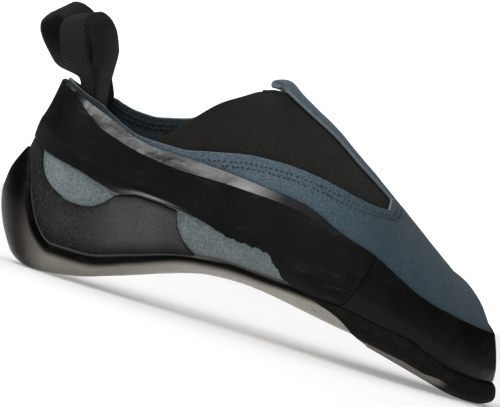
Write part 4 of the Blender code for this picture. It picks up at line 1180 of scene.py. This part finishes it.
def gore_grid(side):
    station = joined(steps(GORE_REAR, GORE_END, FINE), GORE_REAR + CLOSE)[:, None]
    row = np.concatenate(([-0.2, -0.1], np.linspace(0, 1, 60 // COARSE), [1.08, 1.15]))[None, :]
    along = stretched(station, GORE_FRONT, GORE_REAR, GORE_EDGE[side](np.clip(row, 0, 1)))
    low = quarter_turn(along, side)
    high = np.maximum(strip_turn(along, side), low + 0.02)
    turn = blend(low, high, np.clip(row, 0, 1))
    turn = np.where(row < 0, low + 0.25 * row, turn)
    return along, np.where(row > 1, np.minimum(high + 0.4 * (row - 1), 1.97), turn)


def gore_skin(along, turn, side, away):
    edge = rounding(away["start"], 0.5 * MM)
    points = last_points(along, side, turn)
    wave = ripple(points, 30, 0.25, 61)
    hem = 0.25 * MM * near(np.abs(away["start"] - 3.2 * MM), 0.5)
    high = -SUEDE - UNDER + wave - 0.3 * MM * (1 - edge) - hem
    # Painted shade: the edge mark is highest along the strip's edge, where the elastic is darkened.
    strip = np.linalg.norm(points - last_points(along, side, strip_turn(along, side)), axis=-1)
    shade = near(strip - 0.5 * MM, 1.3)
    return high - ELASTIC + 0.3 * MM * (1 - edge) * 2, high, 0.0, shade


for gore, gore_side in (("gore_lateral", OUTER_SIDE), ("gore_medial", INNER_SIDE)):
    over_last(gore + "_cloth", (gore_side,), gore_grid, gore_skin, elastic, gore)


LINING_START = 0.186
LINING_END = 0.30
LINING_LOW = 0.058
LINING_DROP = 0.0052


def lining_grid(side):
    """Elastic sewn inside the medial quarter, behind the gore."""
    station = steps(LINING_START, LINING_END, FINE * 0.6)[:, None]
    row = np.linspace(0, 1, 24 // COARSE)[None, :]
    low = turn_at(station, side, LINING_LOW)
    high = turn_at(station, side, collar_height(station, side) - LINING_DROP)
    return station - 0.010 * (1 - row), blend(low, np.maximum(high, low + 0.02), row)


def lining_skin(along, turn, side, away):
    edge = rounding(np.minimum(away["start"], np.minimum(away["high"], away["low"])), 0.5 * MM)
    low = -SUEDE - UNDER - ELASTIC
    return low + 0.5 * MM * (1 - edge), -SUEDE - UNDER, 0.0, 0.0


over_last("gore_medial_lining", (INNER_SIDE,), lining_grid, lining_skin, elastic, None)

# Pull loops

LOOP_HEIGHT = {OUTER_SIDE: 0.0362, INNER_SIDE: 0.041}
# Way of a loop: row, and its place outward, upward and along as shares of the loop's height
LOOP_OUT, LOOP_UP, LOOP_SHIFT = curves(
    (0, 0, -0.36, -0.1), (1, 0, -0.18, -0.1), (2, 0, 0.0, -0.1), (3, -0.05, 0.14, -0.09),
    (4, -0.12, 0.32, -0.07), (5, -0.2, 0.52, -0.04), (6, -0.26, 0.72, 0), (7, -0.23, 0.88, 0),
    (8, -0.11, 0.98, 0), (9, 0.07, 1.0, 0), (10, 0.21, 0.92, 0.02), (11, 0.27, 0.75, 0.05),
    (12, 0.25, 0.54, 0.07), (13, 0.18, 0.33, 0.09), (14, 0.11, 0.14, 0.1), (15, 0.06, 0.0, 0.1),
    (16, 0.06, -0.18, 0.1), (17, 0.06, -0.36, 0.1))
HEEL_ARC = 0.034
LOOP_PLACE = 0.0287
LOOP_DEPTH = 0.0031
LOOP_BEND = 0.003
LOOP_TWIST = 0.55
LOOP_GAP = 0.0006
LOOP_CLEAR = 0.0003
LOOP_LEAN = {OUTER_SIDE: math.radians(23), INNER_SIDE: math.radians(44)}
LOOP_SWING = math.radians(39)


def along_from_back(distance):
    """Station at a distance round the collar from the heel's back."""
    return np.where(distance < HEEL_ARC, distance / HEEL_ARC - 1, (distance - HEEL_ARC) / LAST_RUN)


def loop_points(side, row, across):
    """Middle of the webbing at rows of the loop, at shares of its width."""
    size = LOOP_HEIGHT[side]
    height = size * LOOP_UP(row)
    out = size * LOOP_OUT(row)
    shift = size * LOOP_SHIFT(row) + WEBBING_WIDTH * across
    deep = SUEDE + LOOP_GAP + 0.5 * WEBBING + np.where(row > 8.5, WEBBING + LOOP_CLEAR, 0.0)
    wall_along = along_from_back(LOOP_PLACE + shift)
    wall_height = collar_height(wall_along, side) + np.minimum(height, 0.0)
    wall = lifted(wall_along, side, turn_at(wall_along, side, wall_height), -deep)
    centre = np.array([along_from_back(LOOP_PLACE)])
    centre_turn = turn_at(centre, side, collar_height(centre, side))
    base = lifted(centre, side, centre_turn, np.array([-LOOP_DEPTH]))[0]
    lean = LOOP_LEAN[side]
    up = np.array((-math.sin(lean), 0, math.cos(lean)))
    wide = np.array((math.cos(LOOP_SWING) * math.cos(lean), side * math.sin(LOOP_SWING),
                     math.cos(LOOP_SWING) * math.sin(lean)))
    away = np.cross(wide, up)
    away /= np.linalg.norm(away)
    if away[1] * side > 0:
        away = -away
    above = np.maximum(height, 0.0)
    soft = LOOP_BEND * (1 - np.exp(-above / LOOP_BEND))
    rise = (above - soft)[..., None] * up + soft[..., None] * np.array((0.0, 0.0, 1.0))
    free = base + out[..., None] * away + shift[..., None] * wide
    return blend(wall, free, ease(above / (LOOP_TWIST * size))[..., None]) + rise


def build_loop(name, side):
    row = np.linspace(0, 17, 150 // COARSE)[:, None]
    half_widths = np.array((0.05, 0.15, 0.25, 0.35, 0.43, 0.47, 0.49, 0.5))
    width = np.concatenate((-half_widths[::-1], half_widths))[None, :]
    row, width = np.broadcast_arrays(row, width)
    middle = loop_points(side, row, width)
    ahead = np.gradient(middle, axis=0)
    over = np.gradient(middle, axis=1)
    normal = np.cross(ahead, over)
    normal /= np.linalg.norm(normal, axis=-1, keepdims=True)
    edge = np.sqrt(np.clip(1 - np.clip((np.abs(width) - 0.47) / 0.03, 0, 1) ** 2, 0, 1))
    half = 0.5 * WEBBING * (0.12 + 0.88 * edge)
    step = arc_lengths(middle, 0)
    coords = np.stack((step, WEBBING_WIDTH * (width + 0.5)), -1)
    ridge = 0.04 * MM * np.sin(step / MM * 2 * math.pi / 0.9)
    solid = Solid()
    probe = (40 // COARSE, 5)
    inside = np.sum(normal[probe] * (middle.mean(axis=(0, 1)) - middle[probe]))
    cells = np.ones((row.shape[0] - 1, row.shape[1] - 1), bool)
    zone_up = 0.0 * row + (1.0 if inside > 0 else 0.0)
    lift = normal * (half + ridge * edge)[..., None]
    top = solid.sheet(middle + lift, coords, zone_up, 0 * row, cells, False)
    low = solid.sheet(middle - lift, coords, 1 - zone_up, 0 * row, cells, True)
    solid.rim(low, top, cells, False, ())
    return solid.build(name + "_webbing", webbing, name)


build_loop("pull_loop_lateral", OUTER_SIDE)
build_loop("pull_loop_medial", INNER_SIDE)

# Stitches


def stitch_row(solid, path, normals, seed, pitch, length, radius, slack):
    """Row of small rounded threads along a path on a surface."""
    draw = np.random.default_rng(seed)
    step = np.linalg.norm(np.diff(path, axis=0), axis=1)
    run = np.concatenate(([0], np.cumsum(step)))
    count = int(run[-1] / pitch)
    sides = 6
    rings = ((-0.5, 0.25, -0.9), (-0.42, 0.8, -0.2), (-0.2, 1.0, 0.35), (0.2, 1.0, 0.35),
             (0.42, 0.8, -0.2), (0.5, 0.25, -0.9))
    angle = np.arange(sides) * 2 * math.pi / sides

    def read(values, at):
        return np.array([np.interp(at, run, values[:, axis]) for axis in range(3)])

    for index in range(count):
        at = (index + 0.5) * pitch + draw.uniform(-slack, slack) * pitch
        centre = read(path, at)
        ahead = read(path, at + 0.3 * pitch) - centre
        normal = read(normals, at)
        if np.linalg.norm(ahead) < 1e-7:
            continue
        ahead /= np.linalg.norm(ahead)
        normal -= ahead * (normal @ ahead)
        normal /= np.linalg.norm(normal)
        over = np.cross(normal, ahead)
        ahead = ahead + over * draw.uniform(-0.14, 0.14)
        ahead /= np.linalg.norm(ahead)
        long = length * draw.uniform(0.88, 1.08)
        points = [centre + ahead * (share * long) + normal * (lift * radius)
                  + radius * size * (np.outer(np.cos(angle), over) + np.outer(np.sin(angle), normal))
                  for share, size, lift in rings]
        points = np.stack(points)
        closed = np.concatenate((points, points[:, :1]), 1)
        cells = np.ones((closed.shape[0] - 1, closed.shape[1] - 1), bool)
        flat = np.zeros(closed.shape[:2])
        coords = np.stack((flat, flat), -1)
        numbers = solid.sheet(closed, coords, flat, flat, cells, False)
        caps = np.array(((0, 1, 2, 3), (0, 3, 4, 5)))
        solid.faces.append(numbers[0][caps][:, ::-1])
        solid.faces.append(numbers[-1][caps])


def turn_below(along, side, edge, distance):
    """Turns at a distance over the surface below an edge; negative distances lie above it."""
    share = np.linspace(-0.75, 0.4, 120)[None, :]
    turns = np.clip(edge + share, 0.05, 2.0)
    points = last_points(along[:, None], side, turns)
    run = arc_lengths(points, 1)
    found = []
    for row, line, start in zip(run, turns, edge[:, 0]):
        at = np.interp(start, line, row)
        found.append(float(np.interp(at - distance, row, line)))
    return np.array(found)


def gore_stitch_path(side, distance):
    """Line below the collar and the gore, from where the rubber ends, round the gore's front end."""
    along = np.linspace(-0.1, GORE_FRONT, 130)
    edge = quarter_turn(along[:, None], side)
    turn = turn_below(along, side, edge, distance)
    free = turn > rubber_top_turn(along[:, None], side)[:, 0] + 0.012
    first = len(free) - int(np.argmin(free[::-1])) if not free.all() else 0
    along, turn = along[first:], turn[first:]
    front_edge = edge[-1, 0]
    per_turn = np.linalg.norm(last_points(GORE_FRONT, side, front_edge + 0.05)
                              - last_points(GORE_FRONT, side, front_edge - 0.05)) / 0.1
    strip = max(float(strip_turn(np.array([GORE_FRONT]), side)[0]), front_edge + 0.02)
    middle = 0.5 * (front_edge + strip)
    high = 0.5 * (strip - front_edge) * per_turn
    angle = np.linspace(0, math.radians(125), 24)[1:]
    ahead = (distance * 0.85) * np.sin(angle)
    down = (distance + high) * np.cos(angle)
    more_along = GORE_FRONT + ahead / LAST_RUN
    more_turn = middle - down / per_turn
    return np.concatenate((along, more_along)), np.concatenate((turn, more_turn))


# Each row of stitches is its distance from the edge, in metres, and the seed of its random draws
GORE_ROWS = ((0.0040, 3), (0.0063, 4))
GORE_THREAD = {"pitch": 0.0023, "length": 0.00130, "radius": 0.00027, "slack": 0.16}
GORE_LIFT = 0.00008
COLLAR_ROWS = ((0.0034, 5), (0.0056, 6))
COLLAR_THREAD = {"pitch": 0.0021, "length": 0.0017, "radius": 0.00034, "slack": 0.1}
COLLAR_LIFT = -SUEDE - 0.0002

gore_thread = Solid()
for side in BOTH:
    for distance, seed in GORE_ROWS:
        along, turn = gore_stitch_path(side, distance)
        stitch_row(gore_thread, lifted(along, side, turn, GORE_LIFT), last_normals(along, side, turn),
                   seed, **GORE_THREAD)
gore_thread.build("gore_stitches", dark_thread, None)

collar_thread = Solid()
for side in BOTH:
    along = joined(HEEL_RUN, steps(0, GORE_REAR + 0.05, FINE))
    edge = quarter_turn(along[:, None], side)
    for distance, seed in COLLAR_ROWS:
        turn = turn_below(along, side, edge, distance)
        stitch_row(collar_thread, lifted(along, side, turn, COLLAR_LIFT), -last_normals(along, side, turn),
                   seed, **COLLAR_THREAD)
collar_thread.build("collar_stitches", dark_thread, None)

# Floor, light and camera

TARGET = (0.09, 0.0, 0.05)
STAGE_WHITE = 0.86
FLOOR_RADIUS = 0.9
BEND_RADIUS = 1.4


def stage_material(name, glow):
    """White of the floor and the sweep, with a glow of its own."""
    paint = Nodes(name, 0.9, spec=0.1)
    paint.shader["Emission Color"].default_value = (1.0, 1.0, 1.0, 1.0)
    paint.shader["Emission Strength"].default_value = glow
    shade = STAGE_WHITE * 0.99
    paint.base = paint.mix(paint.fit(paint.noise(1.5, 2.0, 0.5), 0.4, 0.6), (STAGE_WHITE,) * 3,
                           (shade, shade, STAGE_WHITE))
    return paint.done()


def lathe(name, rings, glow):
    """Round stage surface about the object's middle, from rings of radius and height."""
    around = np.linspace(0, 2 * math.pi, 97)[:-1]
    count = len(around)
    points = []
    for radius, height in rings:
        points += [(TARGET[0] + radius * math.cos(a), radius * math.sin(a), height) for a in around]
    faces = []
    for ring in range(len(rings) - 1):
        for k in range(count):
            a, b = ring * count + k, ring * count + (k + 1) % count
            faces.append((a, a + count, b + count, b))
    data = bpy.data.meshes.new(name)
    data.from_pydata(points, [], faces)
    data.shade_smooth()
    surface = bpy.data.objects.new(name, data)
    bpy.context.scene.collection.objects.link(surface)
    data.materials.append(stage_material("stage_" + name, glow))
    return surface


lathe("floor", [(0.0001, 0.0), (0.3, 0.0), (FLOOR_RADIUS, 0.0)], 0.25)
bend = [(2.8 + BEND_RADIUS * math.sin(angle), BEND_RADIUS * (1 - math.cos(angle)))
        for angle in np.linspace(0, 0.5 * math.pi, 12)]
sweep = lathe("sweep", [(FLOOR_RADIUS, 0.0), (2.0, 0.0), *bend, (4.2, 3.5)], 0.9)
sweep.visible_glossy = False
sweep.visible_diffuse = False

world = bpy.data.worlds.new("studio")
bpy.context.scene.world = world
world.use_nodes = True
background = world.node_tree.nodes["Background"].inputs
background["Color"].default_value = (1.0, 1.0, 1.0, 1.0)
background["Strength"].default_value = 0.42
world.cycles_visibility.glossy = False


def area_light(name, place, width, height, power):
    """Lamp that points at the object's middle."""
    data = bpy.data.lights.new(name, "AREA")
    data.shape = "RECTANGLE"
    data.size = width
    data.size_y = height
    data.energy = power
    lamp = bpy.data.objects.new(name, data)
    bpy.context.scene.collection.objects.link(lamp)
    lamp.location = place
    lamp.rotation_euler = (Vector(TARGET) - Vector(place)).to_track_quat("-Z", "Y").to_euler()
    return lamp


area_light("left_top", (-0.85, -0.6, 1.15), 1.4, 0.8, 14.0)
area_light("back_top", (-0.2, 0.9, 1.3), 1.6, 0.7, 4.0)
gloss = area_light("gloss_top", (-0.35, -0.5, 1.45), 1.5, 0.7, 15.5)
gloss.visible_diffuse = False
area_light("camera_side", (-0.6, -1.7, 0.6), 1.0, 0.7, 2.5)

bpy.context.scene.view_settings.view_transform = "Standard"

# The photo's scale in metres a pixel, its tilt, and the place in its middle
PIXEL = 0.00043909
PHOTO_WIDTH = 500
ROLL = math.radians(17.169)
MIDDLE = (0.0805, -0.02, 0.0561)
DISTANCE = 2.2
RISE = math.radians(1.5)
SENSOR = 36.0
camera_data = bpy.data.cameras.new("camera")
camera = bpy.data.objects.new("camera", camera_data)
bpy.context.scene.collection.objects.link(camera)
camera_data.sensor_width = SENSOR
camera_data.lens = SENSOR * DISTANCE / (PHOTO_WIDTH * PIXEL)
camera_data.clip_start = 0.1
camera_data.clip_end = 30.0
look = Vector((0, math.cos(RISE), -math.sin(RISE)))
right = Vector((1, 0, 0))
up = right.cross(look)
rolled_right = right * math.cos(ROLL) + up * math.sin(ROLL)
rolled_up = up * math.cos(ROLL) - right * math.sin(ROLL)
turned = Matrix((rolled_right, rolled_up, -look)).transposed().to_4x4()
camera.matrix_world = Matrix.Translation(Vector(MIDDLE) - look * DISTANCE) @ turned
bpy.context.scene.camera = camera
